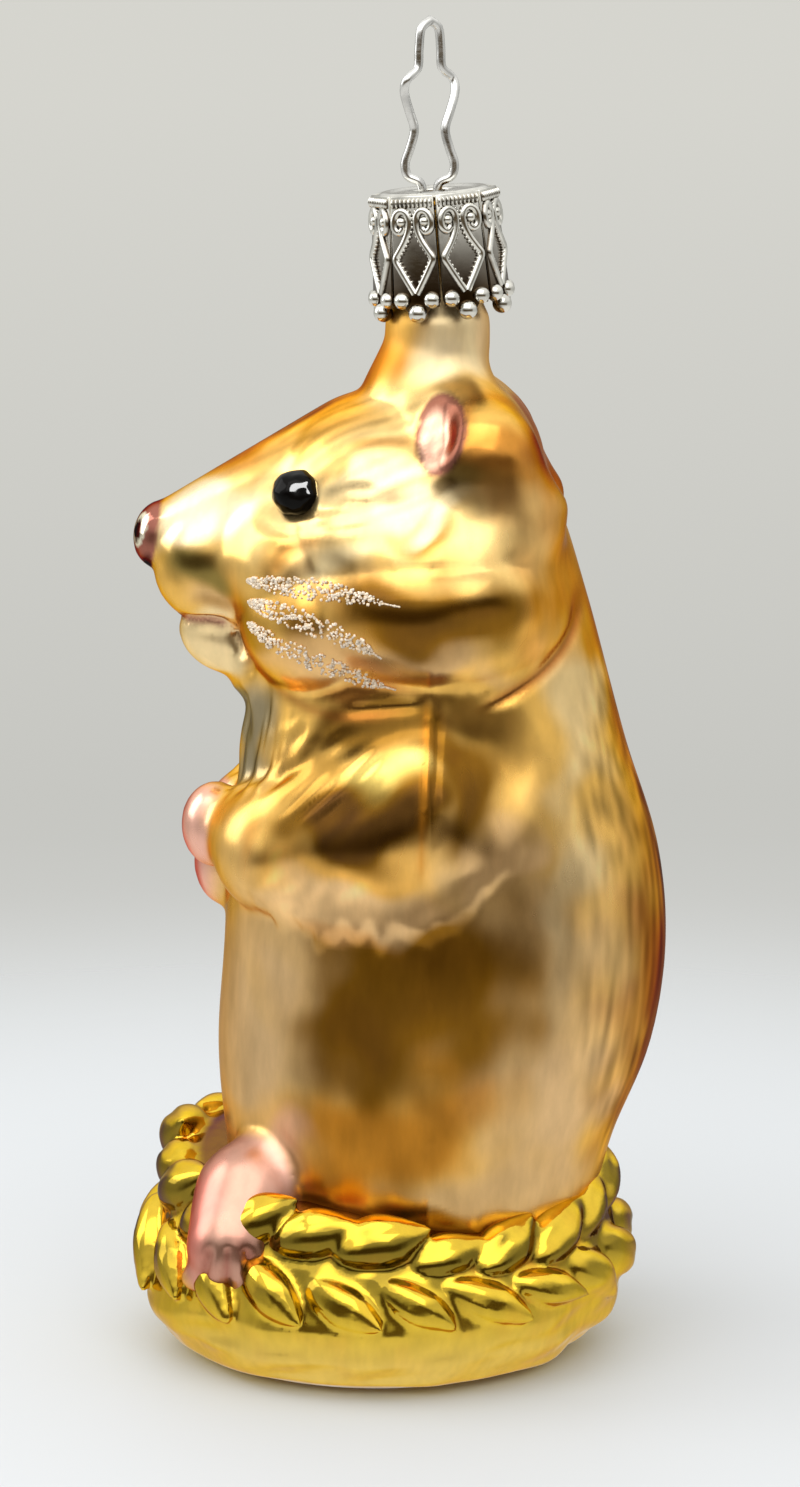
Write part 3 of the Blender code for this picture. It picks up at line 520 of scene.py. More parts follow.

# Sprays of lacquer and of painted shade, highlights and reflections, in the order they go on:
# colour, centre, radii, pitch, strength, softness
SPRAYS = (
    ("silver gold", (2, -10, 33), (26, 30, 30), 0, 0.9, 0.45),
    ("gold", (12, -8, 54), (14, 20, 14), 0, 0.5, 0.6),
    ("beige", (-13, -8, 29), (5, 14, 13), 0, 0.8, 0.6),
    ("beige", (14.5, -8, 25), (7, 14, 12), -14, 0.8, 0.7),
    ("cream", (15.6, -8, 44), (4, 14, 16), 8, 0.6, 0.8),
    ("gold", (0, -15, 23), (13, 12, 9), 0, 0.9, 0.6),
    ("amber", (-1.5, -15, 22.4), (11.8, 12, 7.6), -4, 0.88, 0.7),
    ("apricot", (-12, -9, 23), (4, 9, 5), 0, 0.5, 0.8),
    ("silver gold", (10, -14, 16.4), (11, 12, 4.4), 4, 0.7, 0.7),
    # painted reflection: the dark patch on the side of the trunk, this spray and the next two, is the
    # dark room mirrored in the glass
    ("bronze", (2, -16.5, 35.5), (14.8, 14, 12.4), 0, 0.97, 0.6),
    ("shade umber", (-3, -16.5, 31.4), (9.4, 13, 6.6), -14, 0.8, 0.8),
    ("shade umber", (6.8, -14, 38.6), (7.2, 9, 8.6), 26, 0.7, 0.8),
    ("orange", (6.4, -15, 26.4), (5.6, 12, 4.6), 0, 0.6, 0.8),
    ("copper", (27, 0, 33), (11.6, 28, 34), 0, 0.9, 0.75),
    # painted shadow along the trunk's foot, where it meets the ring
    ("shade umber", (1.5, -8, 14), (26, 26, 3.3), 10, 0.9, 0.4),
    ("cream", (16, -8, 60), (4, 12, 10), -14, 0.6, 0.8),
    ("orange", (20.5, 0, 62), (4, 9, 16), -18, 0.7, 0.6),
    # arm
    ("gold", (-3, -14, 50), (12, 9, 11), 0, 0.8, 0.5),
    ("bronze", (-7, -12, 54.6), (5.4, 8, 3.6), -30, 0.5, 0.8),
    # painted highlight on the top of the arm
    ("highlight lemon", (0.4, -14, 55), (4.8, 8, 2.4), -22, 0.7, 0.7),
    # painted shadow under the cheek, on the top of the arm
    ("shade umber", (-1.4, -13, 58.2), (9, 8, 2.3), -2, 0.85, 0.6),
    ("orange", (-12, -8, 48.8), (3, 8, 4.4), 0, 0.65, 0.8),
    ("apricot", (-4, -15, 46.4), (10, 9, 3.2), -6, 0.95, 0.7),
    # painted reflection: the dark band along the arm, this spray and the next, is the dark cloth
    # mirrored in the glass
    ("shade umber", (-2.6, -17, 51), (10.6, 10, 4.4), -12, 0.97, 0.5),
    ("shade walnut", (-2.2, -17, 50.9), (8.6, 10, 2.9), -12, 0.85, 0.5),
    # painted shade in the hollow behind the arm, this spray and the next two
    ("shade umber", (7.4, -15, 54), (5.8, 10, 8.2), 4, 0.97, 0.6),
    ("shade umber", (4.4, -15, 58.2), (2.6, 10, 3), 0, 0.8, 0.7),
    ("shade walnut", (7.4, -15, 52.6), (3.2, 10, 4.6), 4, 0.5, 0.8),
    ("peach", (-3, -15, 43.2), (11, 9, 3.6), -2, 0.95, 0.5),
    ("orange", (-3, -15, 40.8), (8, 9, 1.4), 0, 0.4, 0.8),
    ("peach", (9.4, -14, 48), (5.4, 9, 3), -44, 0.8, 0.7),
    ("slate", (-12, -3, 56.5), (3.4, 9, 6.5), 6, 0.8, 0.6),
    # head
    ("pale gold", (2, 0, 77), (22, 22, 15), 0, 0.95, 0.35),
    ("white", (-16, -3, 75), (6, 6, 3.4), -28, 0.6, 0.6),
    ("beige", (-15, -3, 68.4), (5.4, 6, 3.4), 0, 0.85, 0.6),
    ("cream", (-15.5, -3, 64.4), (5, 6, 3.4), 0, 0.85, 0.6),
    ("orange", (-8, 0, 85.4), (21, 14, 4.4), -27, 0.85, 0.6),
    ("rust", (-5, 0, 86.8), (12, 9, 2.8), -28, 0.3, 0.8),
    ("apricot", (-6, -5, 83.4), (9, 9, 2.8), -27, 0.8, 0.8),
    ("orange", (-12.6, -4, 70), (3.2, 6, 3), 0, 0.6, 0.8),
    # painted shade below the muzzle, then the painted reflection of the dark cloth on the muzzle in
    # the next two sprays
    ("bronze", (-16, -3, 67.8), (3.8, 6, 1.7), 0, 0.6, 0.8),
    ("bronze", (-14.6, -4, 70.6), (4, 6, 4), 4, 0.4, 0.8),
    ("reflection olive", (-15.7, -4, 71.2), (4.4, 6, 2.5), 4, 0.97, 0.6),
    ("cream", (-2, -10, 78.6), (9, 8, 3.6), -4, 0.5, 0.8),
    ("apricot", (-3.6, -8, 81.4), (5.4, 8, 2.2), -20, 0.5, 0.8),
    ("orange", (0.6, -9, 83), (2.6, 6, 1.3), -24, 0.5, 0.8),
    ("orange", (-2.4, -9, 80.6), (2.4, 6, 1.1), -14, 0.4, 0.8),
    ("orange", (1.6, -10, 80), (1.6, 6, 1.1), -10, 0.4, 0.8),
    ("cream", (3, -13, 77.6), (8, 8, 2.4), 2, 0.7, 0.8),
    ("bronze", (2.6, -13, 75.6), (4.4, 6, 2), 4, 0.85, 0.7),
    ("gold", (1, -15, 73.4), (10, 7, 1.6), -2, 0.6, 0.8),
    ("orange", (-2, -15, 69.4), (8, 9, 4.6), 4, 0.5, 0.8),
    # painted reflection: the dark band across the cheek, this spray and the next two
    ("shade umber", (4.6, -16, 68.8), (11.6, 9, 5), 3, 0.96, 0.5),
    ("shade walnut", (2, -16, 69), (6.4, 8, 3.2), 3, 0.5, 0.7),
    ("shade umber", (8.2, -15, 70.4), (5.2, 8, 2), 6, 0.75, 0.7),
    ("orange", (13.6, -12, 68.6), (3.6, 8, 4.4), 0, 0.5, 0.8),
    ("beige", (2, -15, 64), (11, 8, 2.8), -2, 0.85, 0.7),
    ("orange", (-8.6, -11, 67), (2.4, 8, 6.5), 14, 0.4, 0.8),
    ("peach", (-4, -13, 64.2), (11, 8, 4), -4, 0.85, 0.7),
    ("bronze", (1, -13, 65), (15, 8, 4.8), 0, 0.38, 0.8),
    ("bronze", (-12, -9, 67), (2.4, 6, 5), 14, 0.5, 0.8),
    ("bronze", (-8, -11, 67), (4, 8, 3.4), 0, 0.4, 0.8),
    ("cream", (-6, -12, 73.6), (5, 8, 2.6), 0, 0.8, 0.8),
    ("apricot", (-9.4, -11, 74), (3.4, 8, 2.6), -20, 0.7, 0.8),
    ("orange", (15.5, -8, 72.5), (6.4, 11, 9.5), -8, 0.6, 0.7),
    ("rust", (-1, -12, 60.4), (8, 8, 1.4), 2, 0.7, 0.8),
    # ear
    ("orange", (9.6, -10, 82.5), (6, 9, 6.8), 0, 0.85, 0.5),
    ("orange", (13.4, 0, 81.5), (4.2, 14, 8.6), 0, 0.97, 0.5),
    ("rust", (12, -9, 82.4), (3.4, 6, 4.2), 0, 0.7, 0.8),
    # painted highlight on the top of the ear, then painted reflection and painted shade below it in
    # the next two sprays
    ("gold", (10, -10, 85.6), (2.6, 7, 2.1), 20, 1, 0.8),
    ("reflection olive", (6.4, -12.5, 79.6), (5.6, 6, 3.2), 8, 0.8, 0.7),
    ("shade walnut", (3.9, -12, 78.4), (2.8, 6, 1.8), 20, 0.75, 0.6),
    ("cream", (4.2, -12, 76.5), (5, 7, 1.5), -12, 0.9, 0.7),
    # neck
    ("cream", (5, 0, 93), (6, 8, 7.6), 0, 0.95, 0.4),
    ("white", (3.4, 0, 90), (3, 8, 4), 0, 0.5, 0.8),
    ("cream", (6, -6, 89), (3.2, 6, 1.7), -14, 0.9, 0.8),
    ("beige", (9.5, 0, 92), (3.8, 8, 7), 0, 0.8, 0.8),
    ("orange", (-1.2, 0, 90), (3.2, 6, 5.6), 18, 0.85, 0.8),
    # nose
    ("rose brown", (-21.2, 0, 74), (2, 3.6, 3.7), 10, 1, 0.14),
    ("rosewood", (-20.8, -1, 73), (1.7, 3, 2.6), 10, 0.5, 0.6),
    ("dark rose", (-21, -1.4, 71.4), (1.2, 1.4, 1.2), 10, 0.9, 0.5),
    ("white", (-22, -1.5, 74.6), (1, 1.2, 1.7), 10, 1, 0.15),
    ("dark rose", (-22.3, -1.5, 74.5), (0.75, 0.8, 1.15), 10, 1, 0.15),
    # lips
    ("rose brown", (-18.9, -0.6, 65.6), (1, 2.4, 1.5), 0, 0.8, 0.5),
    # paws and feet
    ("pale pink", (-16.2, -3, 48.3), (3.4, 4.4, 4.4), 0, 0.95, 0.3),
    ("apricot", (-13.2, -5.6, 48.6), (2.6, 3, 4), 0, 0.8, 0.8),
    ("pink", (-18.6, -2, 48), (2, 5, 4.8), 0, 0.95, 0.8),
    ("pale pink", (-15.8, 3, 43.9), (3.4, 4.4, 4.6), 0, 0.95, 0.3),
    ("pink", (-17.8, 2, 43.6), (2, 5, 4.8), 0, 0.95, 0.8),
    ("rose", (-13.3, -13.5, 14.5), (6.2, 8, 9.6), 0, 1, 0.2),
    ("rose", (-9.6, 16.3, 14.5), (6.2, 8, 9.6), 0, 1, 0.2),
    ("pink", (-17.2, -12, 13.6), (3.8, 8, 7.4), 8, 0.9, 0.8),
    ("rose brown", (-11.4, -18, 13), (2.6, 4, 4.6), 12, 0.85, 0.8),
    ("pale pink", (-9.5, -13, 21), (3.4, 6, 4), 0, 0.5, 0.9),
)

# The inner ears are sprayed last, inside their rims
INNER_EAR = (
    ("rosewood", (4.5, -11, 84.5), (2.45, 6, 4.3), 6, 0.98, 0.14),
    ("skin", (4, -11, 83.8), (1.6, 6, 3.2), 6, 0.9, 0.35),
    ("rose brown", (3.1, -11, 83.6), (0.8, 6, 2.6), 6, 0.5, 0.9),
)

# Painted lines on the side: colour, strength, width, route of (x, z)
PAINTED_LINES = (
    ("rose brown", 0.9, 0.42, ((-19.6, 66.9), (-17.6, 66.7), (-15.6, 66.8), (-14.1, 66.4))),
    ("orange", 0.5, 0.7, CHEEK_FRONT),
    ("rust", 0.85, 0.6, ((16.8, 69.8), (16.3, 66.7), (14.3, 63.9), (11.3, 61.9), (8, 60.4))),
    ("rust", 0.5, 0.5, ((-13.4, 66.1), (-12.4, 64.2), (-12, 62.8))),
    ("rust", 0.5, 0.5, ((-12.2, 64.2), (-9.2, 61.1), (-4.7, 59.6), (1, 60.2))),
    ("orange", 0.6, 0.35, ((3.3, 61), (3.2, 56), (2.9, 50), (2.8, 46))),
    # painted shade in the groove beside the mould seam
    ("shade umber", 0.7, 0.4, ((4.2, 60.5), (4, 56), (3.7, 51))),
    *(("rose brown", 0.8, 0.4, route) for route in TOE_CLEFTS),
)

# Brush strokes that show as lighter and darker streaks: as the fur relief, and a strength
BRUSHED = (
    ((-2, -6, 82), (16, 14, 7), 24, 0.9, 8, 0.28),
    ((21, -4, 42), (8, 20, 28), 86, 0.9, 9, 0.28),
    ((0, -12, 33), (20, 16, 24), 96, 3.4, 2.6, 0.12),
    ((-6, -12, 50), (10, 10, 10), 40, 1.2, 6, 0.16),
    ((4, -14, 67), (13, 10, 9), 4, 2, 4, 0.18),
)
BRUSH_SOFTNESS = 0.4

DRIFTING_SOFTNESS = 0.4  # sprays at least this soft wander from their balls
SPRAY_DRIFT = (3.2, 0, 3.2)
DRIFT_SCALE, DRIFT_SEEDS = 5, (8, 0, 21)
EDGE_WANDER, EDGE_SCALE, EDGE_SEED = 1.6, 3.2, 5
LINES_START, LINES_FULL = 0.6, 2  # painted lines fade out this near the midline
DARKEST = 0.01


def first_coat(points, colour):
    return np.tile(np.array(LACQUER_AND_PAINTED_LIGHT[colour]), (len(points), 1))


def lay_on(coat, colour, share):
    """Takes a coat towards a lacquer colour, or a colour of painted shade or highlight, by a share at
    each vertex.
    """
    coat += (np.array(LACQUER_AND_PAINTED_LIGHT[colour]) - coat) * share[:, None]


def sprayed(points):
    """Lays the sprays, painted shade and highlights among them, the painted lines and the brush
    strokes over a gold coat.
    """
    folded = side_on(points)
    whole = np.ones(len(points), bool)
    wander = grain(points, whole, EDGE_SCALE, seed=EDGE_SEED)
    drift = [grain(points, whole, DRIFT_SCALE, seed=seed) for seed in DRIFT_SEEDS]
    drift = np.stack(drift, axis=1) * SPRAY_DRIFT
    coat = first_coat(points, "gold")
    for colour, centre, radii, pitch, strength, soft in SPRAYS + INNER_EAR:
        side = folded if centre[1] <= 0 else points
        side = side + drift if soft >= DRIFTING_SOFTNESS else side
        share = ball_share(side, centre, radii, soft, pitch)
        share = np.clip(share + EDGE_WANDER * wander * share * (1 - share), 0, 1)
        lay_on(coat, colour, strength * share)
    off_midline = rise(-folded[:, 1], LINES_START, LINES_FULL)
    for colour, strength, width, route in PAINTED_LINES:
        lay_on(coat, colour, line_share(folded, route, width) * strength * off_midline)
    for centre, radii, lay, width, stretch, strength in BRUSHED:
        share = ball_share(folded, centre, radii, BRUSH_SOFTNESS)
        strokes = grain(points, share > FAINT, width, lay, stretch, seed=centre[0])
        coat *= (1 + 2 * strength * share * strokes)[:, None]
    return coat


def keep_colour(made, name, coat):
    """Stores a colour at each vertex, as an attribute."""
    coat = np.clip(coat, DARKEST, 1)
    stored = made.data.attributes.new(name, "FLOAT_COLOR", "POINT")
    rgba = np.concatenate((coat, np.ones((len(coat), 1))), axis=1)
    stored.data.foreach_set("color", rgba.ravel())


def keep_value(made, name, values):
    """Stores a number at each vertex, as an attribute."""
    stored = made.data.attributes.new(name, "FLOAT", "POINT")
    stored.data.foreach_set("value", values)


# ---- Materials ----


def blank_material(name):
    made = bpy.data.materials.new(name)
    made.use_nodes = True
    return made, made.node_tree, made.node_tree.nodes["Principled BSDF"]


def attribute(tree, name, output="Color"):
    """Reads an attribute of the mesh."""
    reader = tree.nodes.new("ShaderNodeAttribute")
    reader.attribute_name = name
    return reader.outputs[output]


def clouds(tree, scale, stretch=(1, 1, 1)):
    """A noise on object coordinates that is drawn out by a stretch."""
    where = tree.nodes.new("ShaderNodeTexCoord")
    turn = tree.nodes.new("ShaderNodeMapping")
    turn.inputs["Scale"].default_value = stretch
    cloud = tree.nodes.new("ShaderNodeTexNoise")
    cloud.inputs["Scale"].default_value = scale
    cloud.inputs["Detail"].default_value = 4
    tree.links.new(where.outputs["Object"], turn.inputs["Vector"])
    tree.links.new(turn.outputs["Vector"], cloud.inputs["Vector"])
    return cloud.outputs["Fac"]


def remap(tree, source, target, reach=(0.3, 0.7), ease="LINEAR"):
    """Takes a value from its reach to a target range. A noise mostly reaches from 0.3 to 0.7."""
    step = tree.nodes.new("ShaderNodeMapRange")
    step.interpolation_type = ease
    for name, value in zip(("From Min", "From Max", "To Min", "To Max"), (*reach, *target)):
        step.inputs[name].default_value = value
    tree.links.new(source, step.inputs["Value"])
    return step.outputs["Result"]


def ramp(tree, source, stops, ease="LINEAR"):
    """A colour by value. Each stop has a place from 0 to 1 and a colour."""
    made = tree.nodes.new("ShaderNodeValToRGB")
    made.color_ramp.interpolation = ease
    elements = made.color_ramp.elements
    while len(elements) < len(stops):
        elements.new(0.5)
    for element, (place, colour) in zip(elements, stops):
        element.position = place
        element.color = (*colour, 1)
    tree.links.new(source, made.inputs["Fac"])
    return made.outputs["Color"]


def feed(tree, socket, value):
    """Links a socket to another one, or sets it to a number or a colour."""
    if isinstance(value, bpy.types.NodeSocket):
        tree.links.new(value, socket)
    else:
        socket.default_value = value


def mix(tree, factor, first, second, blend="MIX"):
    made = tree.nodes.new("ShaderNodeMix")
    made.data_type = "RGBA"
    made.blend_type = blend
    feed(tree, made.inputs["Factor"], factor)
    feed(tree, made.inputs["A"], first)
    feed(tree, made.inputs["B"], second)
    return made.outputs["Result"]


def product(tree, first, second):
    made = tree.nodes.new("ShaderNodeMath")
    made.operation = "MULTIPLY"
    tree.links.new(first, made.inputs[0])
    tree.links.new(second, made.inputs[1])
    return made.outputs["Value"]


def lacquered_glass(name, rough, coat, bump):
    """Silvered glass under sprayed lacquer and painted shade and highlights: the paint attribute, fine
    brush marks and a soft sheen.
    """
    made, tree, shader = blank_material(name)
    shader.inputs["Metallic"].default_value = 0.97
    shader.inputs["Coat Weight"].default_value = coat
    shader.inputs["Coat Roughness"].default_value = 0.12
    marks = remap(tree, clouds(tree, scale=900, stretch=(1, 1, 0.35)), (0.93, 1.07))
    tone = mix(tree, 1, attribute(tree, "paint"), marks, "MULTIPLY")
    tree.links.new(tone, shader.inputs["Base Color"])
    tree.links.new(tone, shader.inputs["Specular Tint"])
    smears = clouds(tree, scale=260, stretch=(1, 1, 0.5))
    dull = product(tree, remap(tree, smears, rough), attribute(tree, "dull", "Fac"))
    tree.links.new(dull, shader.inputs["Roughness"])
    raised = tree.nodes.new("ShaderNodeBump")
    raised.inputs["Strength"].default_value = bump
    raised.inputs["Distance"].default_value = 0.0002
    tree.links.new(smears, raised.inputs["Height"])
    tree.links.new(raised.outputs["Normal"], shader.inputs["Normal"])
    return made


TARNISH = (0.085, 0.052, 0.022)
WEAR = 0.72  # how bright worn metal is beside clean metal


def bright_metal(name, colour, rough):
    """Thin bright sheet or wire, with faint rub marks and tarnish where the attribute says so."""
    made, tree, shader = blank_material(name)
    shader.inputs["Metallic"].default_value = 1
    worn = tuple(part * WEAR for part in colour)
    clean = ramp(tree, clouds(tree, scale=700), ((0.32, worn), (0.55, colour)))
    tone = mix(tree, attribute(tree, "tarnish", "Fac"), clean, (*TARNISH, 1))
    tree.links.new(tone, shader.inputs["Base Color"])
    scuffs = clouds(tree, scale=1500, stretch=(1, 1, 4))
    tree.links.new(remap(tree, scuffs, (rough * 0.7, rough * 1.5)), shader.inputs["Roughness"])
    return made


def eye_enamel():
    """Gloss black enamel with a faint brown cast and small unevenness."""
    made, tree, shader = blank_material("eye enamel")
    shader.inputs["Specular IOR Level"].default_value = 0.09
    patches = clouds(tree, scale=900)
    black = ((0, (0.00004, 0.00004, 0.00005)), (1, (0.0003, 0.00024, 0.0002)))
    tree.links.new(ramp(tree, patches, black), shader.inputs["Base Color"])
    tree.links.new(remap(tree, patches, (0.03, 0.1)), shader.inputs["Roughness"])
    return made


def glitter_grains():
    """Champagne glitter: clear bright grains whose tints vary from grain to grain."""
    made, tree, shader = blank_material("glitter")
    shader.inputs["Metallic"].default_value = 0.15
    shader.inputs["Specular IOR Level"].default_value = 0.8
    tree.links.new(attribute(tree, "tint"), shader.inputs["Base Color"])
    patches = clouds(tree, scale=2500)
    tree.links.new(remap(tree, patches, (0.08, 0.4)), shader.inputs["Roughness"])
    return made


# ---- The glass figure ----

SKIN_VOXEL = 0.38
SKIN_SMOOTHING = 15
# Where the lacquer is glossier than the fur: strength, centre, radii, softness, pitch
GLOSS = (
    (1, (-21, 0, 74), (2.4, 3.8, 4), 0.2, 10),  # nose
    (0.2, (-13.5, -14, 13.5), (6, 7, 9), 0.3, 0),  # foot
    (0.4, (-16, -2, 46.5), (4, 6, 7.5), 0.3, 0),  # paws
)
# The heights over which the fur loses its satin, and over which the neck gains it
FUR_SATIN, NECK_SATIN = (36, 62), (86, 90)
SATIN_ROUGHER, GLOSS_SMOOTHER = 0.4, 0.6


def foot_forms(bm, side):
    """A foot that steps over the ring, and its four toes."""
    form = bmesh.new()
    add_limb(form, FOOT)
    ankle, end = (Vector(ball[0]) for ball in FOOT)
    outward = Vector((end.x - ankle.x, end.y - ankle.y, 0)).normalized()
    along = Vector((-outward.y, outward.x, 0))
    for fan in TOE_FANS:
        swing = math.radians(fan)
        reach = along * math.sin(swing) - Vector((0, 0, math.cos(swing)))
        tip = end + outward * TOE_RADIUS + reach * TOE_REACH
        root = end + outward * (TOE_RADIUS + TOE_ROOT_OUT) + reach * TOE_ROOT_DOWN
        add_limb(form, ((tip, TOE_RADIUS), (root, TOE_RADIUS)), fineness=3)
    if side == "right":
        bmesh.ops.scale(form, vec=(1, -1, 1), verts=form.verts)
        bmesh.ops.reverse_faces(form, faces=form.faces)
        turn = Matrix.Rotation(math.radians(RIGHT_FOOT_TURN), 3, "Z")
        bmesh.ops.rotate(form, cent=(0, 0, 0), matrix=turn, verts=form.verts)
    join_in(bm, form)


def dullness(points):
    """How rough the lacquer is at each vertex, beside the fur's own finish."""
    folded, height = side_on(points), points[:, 2]
    glossy = np.zeros(len(points))
    for strength, centre, radii, soft, pitch in GLOSS:
        glossy = np.maximum(glossy, strength * ball_share(folded, centre, radii, soft, pitch))
    satin = 1 - rise(height, *FUR_SATIN) + 2 * rise(height, *NECK_SATIN)
    return 1 + SATIN_ROUGHER * satin - GLOSS_SMOOTHER * glossy


def build_figure():
    bm = bmesh.new()
    stack = bmesh.new()
    add_stack(stack, smooth_rows(TRUNK_STATIONS, steps=5), TRUNK_SIDES)
    join_in(bm, stack)
    for centre, radii, pitch in MIDLINE_BALLS + PAWS:
        add_ball(bm, centre, radii, pitch)
    for centre, radii, pitch in PAIRED_BALLS:
        add_ball(bm, centre, radii, pitch)
        add_ball(bm, flipped(centre), radii, pitch)
    right_arm = tuple((flipped(centre), radius) for centre, radius in ARM)
    for balls in (SNOUT, NECK_ROOT, ARM, right_arm):
        add_limb(bm, balls)
    for side in ("left", "right"):
        foot_forms(bm, side)
    tube = bmesh.new()
    outline = NECK_COLLAR + ((NECK_COLLAR[-1][0], NECK_TOP), (0, NECK_TOP))
    add_turned(tube, outline, (NECK_X, 0, 0), sides=64)
    join_in(bm, tube)
    made = new_object("glass_figure", bm)
    melt(made, SKIN_VOXEL, SKIN_SMOOTHING)
    sculpt_figure(made)
    points = points_of(made)
    keep_colour(made, "paint", sprayed(points))
    keep_value(made, "dull", dullness(points))
    to_metres(made, lacquered_glass("fur lacquer and painted shade", rough=(0.20, 0.28), coat=0.04, bump=0.08))
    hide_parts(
        "trunk", "head", "ear_left", "ear_right", "arm_left", "arm_right", "paw_left",
        "paw_right", "foot_left", "foot_right", "nose", "neck_tube",
    )
    return made


# ---- The nest ----

NEST_VOXEL = 0.3
NEST_SMOOTHING = 7
NEST_X = -0.5
# The ring's outline: radius, height
NEST_PROFILE = (
    (0, 0.25), (15.6, 0.25), (18.4, 1.3), (20.7, 3.8), (21.4, 6.6), (21, 9.4), (20.2, 12.2),
    (18.9, 14.6), (16.9, 16.3), (15, 16.7), (0, 16.7),
)
HUSKS_PER_ROW = 20
# Each row: ring radius, height, rise of the tips, lean back, swing out of the tips, half sizes
HUSK_ROWS = (
    (18.5, 15.3, 26, 42, 13, (4.7, 2.5, 2.2)),
    (21, 9.8, -36, 8, 14, (4.6, 2.2, 1.9)),
)
HUSK_TAPER = 0.7  # how much narrower a husk is at its tip
HUSK_FOLD = 0.14  # how deep the crease along it is, as a share of its half depth
# Where the ring's top swells: degrees around, lift and push outward
NEST_SWELLS = ((145, 2.9, 0.7), (15, 1, 1), (-52, -2.4, 0))
NEST_SWELL_FOOT = 8
NEST_SWELL_TOP = 15
NEST_LEAN = 0.6
NEST_SEAT = 16.9  # radius within which the figure shades the ring
SEAT_EDGE = 0.8
CREASE_PASSES = 12
NEST_LIFT = 0.25  # how far the melted foot is let down, to make its underside flat
NEST_GIRTH = 20  # the radius at which its marks are laid out flat
# Heights that the marks on the plain foot come in and fade out over
MARKS_START, MARKS_END = (0.4, 2), (5, 9)
# Marks on the plain foot: height, width, lay in degrees, length to width, seed
FOOT_MARKS = ((0.5, 2.2, 12, 3, 3), (0.9, 6, -8, 1.4, 12))
# Where the colours come in: by how far the skin faces up, by its hollowness and by height
HUSK_TOPS = (0.2, 0.65)
HUSK_CRESTS, AMBER_CREASES, UMBER_CREASES = (-0.2, -0.04), (0.06, 0.2), (0.14, 0.4)
HUSK_HEIGHTS, PALE_FOOT = (7, 12), (2, 8)


def swell(bm):
    """Gives the ring the uneven top and leaning foot of its solid."""
    for vert in bm.verts:
        around = math.atan2(vert.co.y, vert.co.x)
        share = (vert.co.z - NEST_SWELL_FOOT) / (NEST_SWELL_TOP - NEST_SWELL_FOOT)
        upper = min(max(share, 0), 1)
        outward = Vector((vert.co.x, vert.co.y, 0)).normalized()
        vert.co.x -= NEST_LEAN * min(max(1 - vert.co.z / NEST_SWELL_FOOT, 0), 1)
        for angle, lift, push in NEST_SWELLS:
            near = max(math.cos(around - math.radians(angle)), 0) ** 3 * upper
            vert.co += outward * push * near
            vert.co.z += lift * near


def add_husk(bm, place, radii):
    """One plump husk with a blunt root, a pointed tip and a shallow crease along it."""
    length, width, depth = radii
    husk = bmesh.ops.create_icosphere(bm, subdivisions=4, radius=1)["verts"]
    for vert in husk:
        t = vert.co.y
        narrow = 1 - HUSK_TAPER * max(t, 0) ** 1.5
        fold = HUSK_FOLD * math.exp(-((vert.co.z / 0.2) ** 2)) * (1 - abs(t))
        vert.co.x = vert.co.x * narrow - (fold if vert.co.x > 0 else 0)
        vert.co.z *= narrow
    size = Matrix.Diagonal((depth, length, width, 1))
    bmesh.ops.transform(bm, matrix=place @ size, verts=husk)


def lay_husks(bm):
    """Two rows of husks around the ring, each a little out of line."""
    hand = random.Random(11)
    for row, (ring_radius, height, pitch, facing, swing, radii) in enumerate(HUSK_ROWS):
        for step in range(HUSKS_PER_ROW):
            around = math.tau * (step + 0.5 * row) / HUSKS_PER_ROW
            tip_up = Matrix.Rotation(math.radians(pitch + hand.uniform(-9, 9)), 4, "X")
            lie_back = Matrix.Rotation(math.radians(-facing), 4, "Y")
            centre = (ring_radius + hand.uniform(-0.4, 0.1), 0, height + hand.uniform(-0.5, 0.4))
            tip_out = Matrix.Rotation(math.radians(-swing), 4, "Z")
            husk = Matrix.Translation(centre) @ lie_back @ tip_out @ tip_up
            plump = hand.uniform(0.86, 1.06)
            place = Matrix.Rotation(around, 4, "Z") @ husk
            add_husk(bm, place, tuple(radius * plump for radius in radii))


def sculpt_nest(made):
    """Soft ripples and waves on the plain foot of the ring, and a true flat underneath."""
    points = points_of(made)
    foot = (1 - rise(points[:, 2], *MARKS_END)) * rise(points[:, 2], *MARKS_START)
    around = np.arctan2(points[:, 1], points[:, 0]) * NEST_GIRTH
    laid = np.stack((around, np.zeros(len(points)), points[:, 2]), axis=1)
    lift = sum(height * grain(laid, foot > FAINT, *marks) for height, *marks in FOOT_MARKS)
    points += normals_of(made) * (foot * lift)[:, None]
    points[:, 2] = np.maximum(points[:, 2] - NEST_LIFT, 0)
    move_points(made, points)


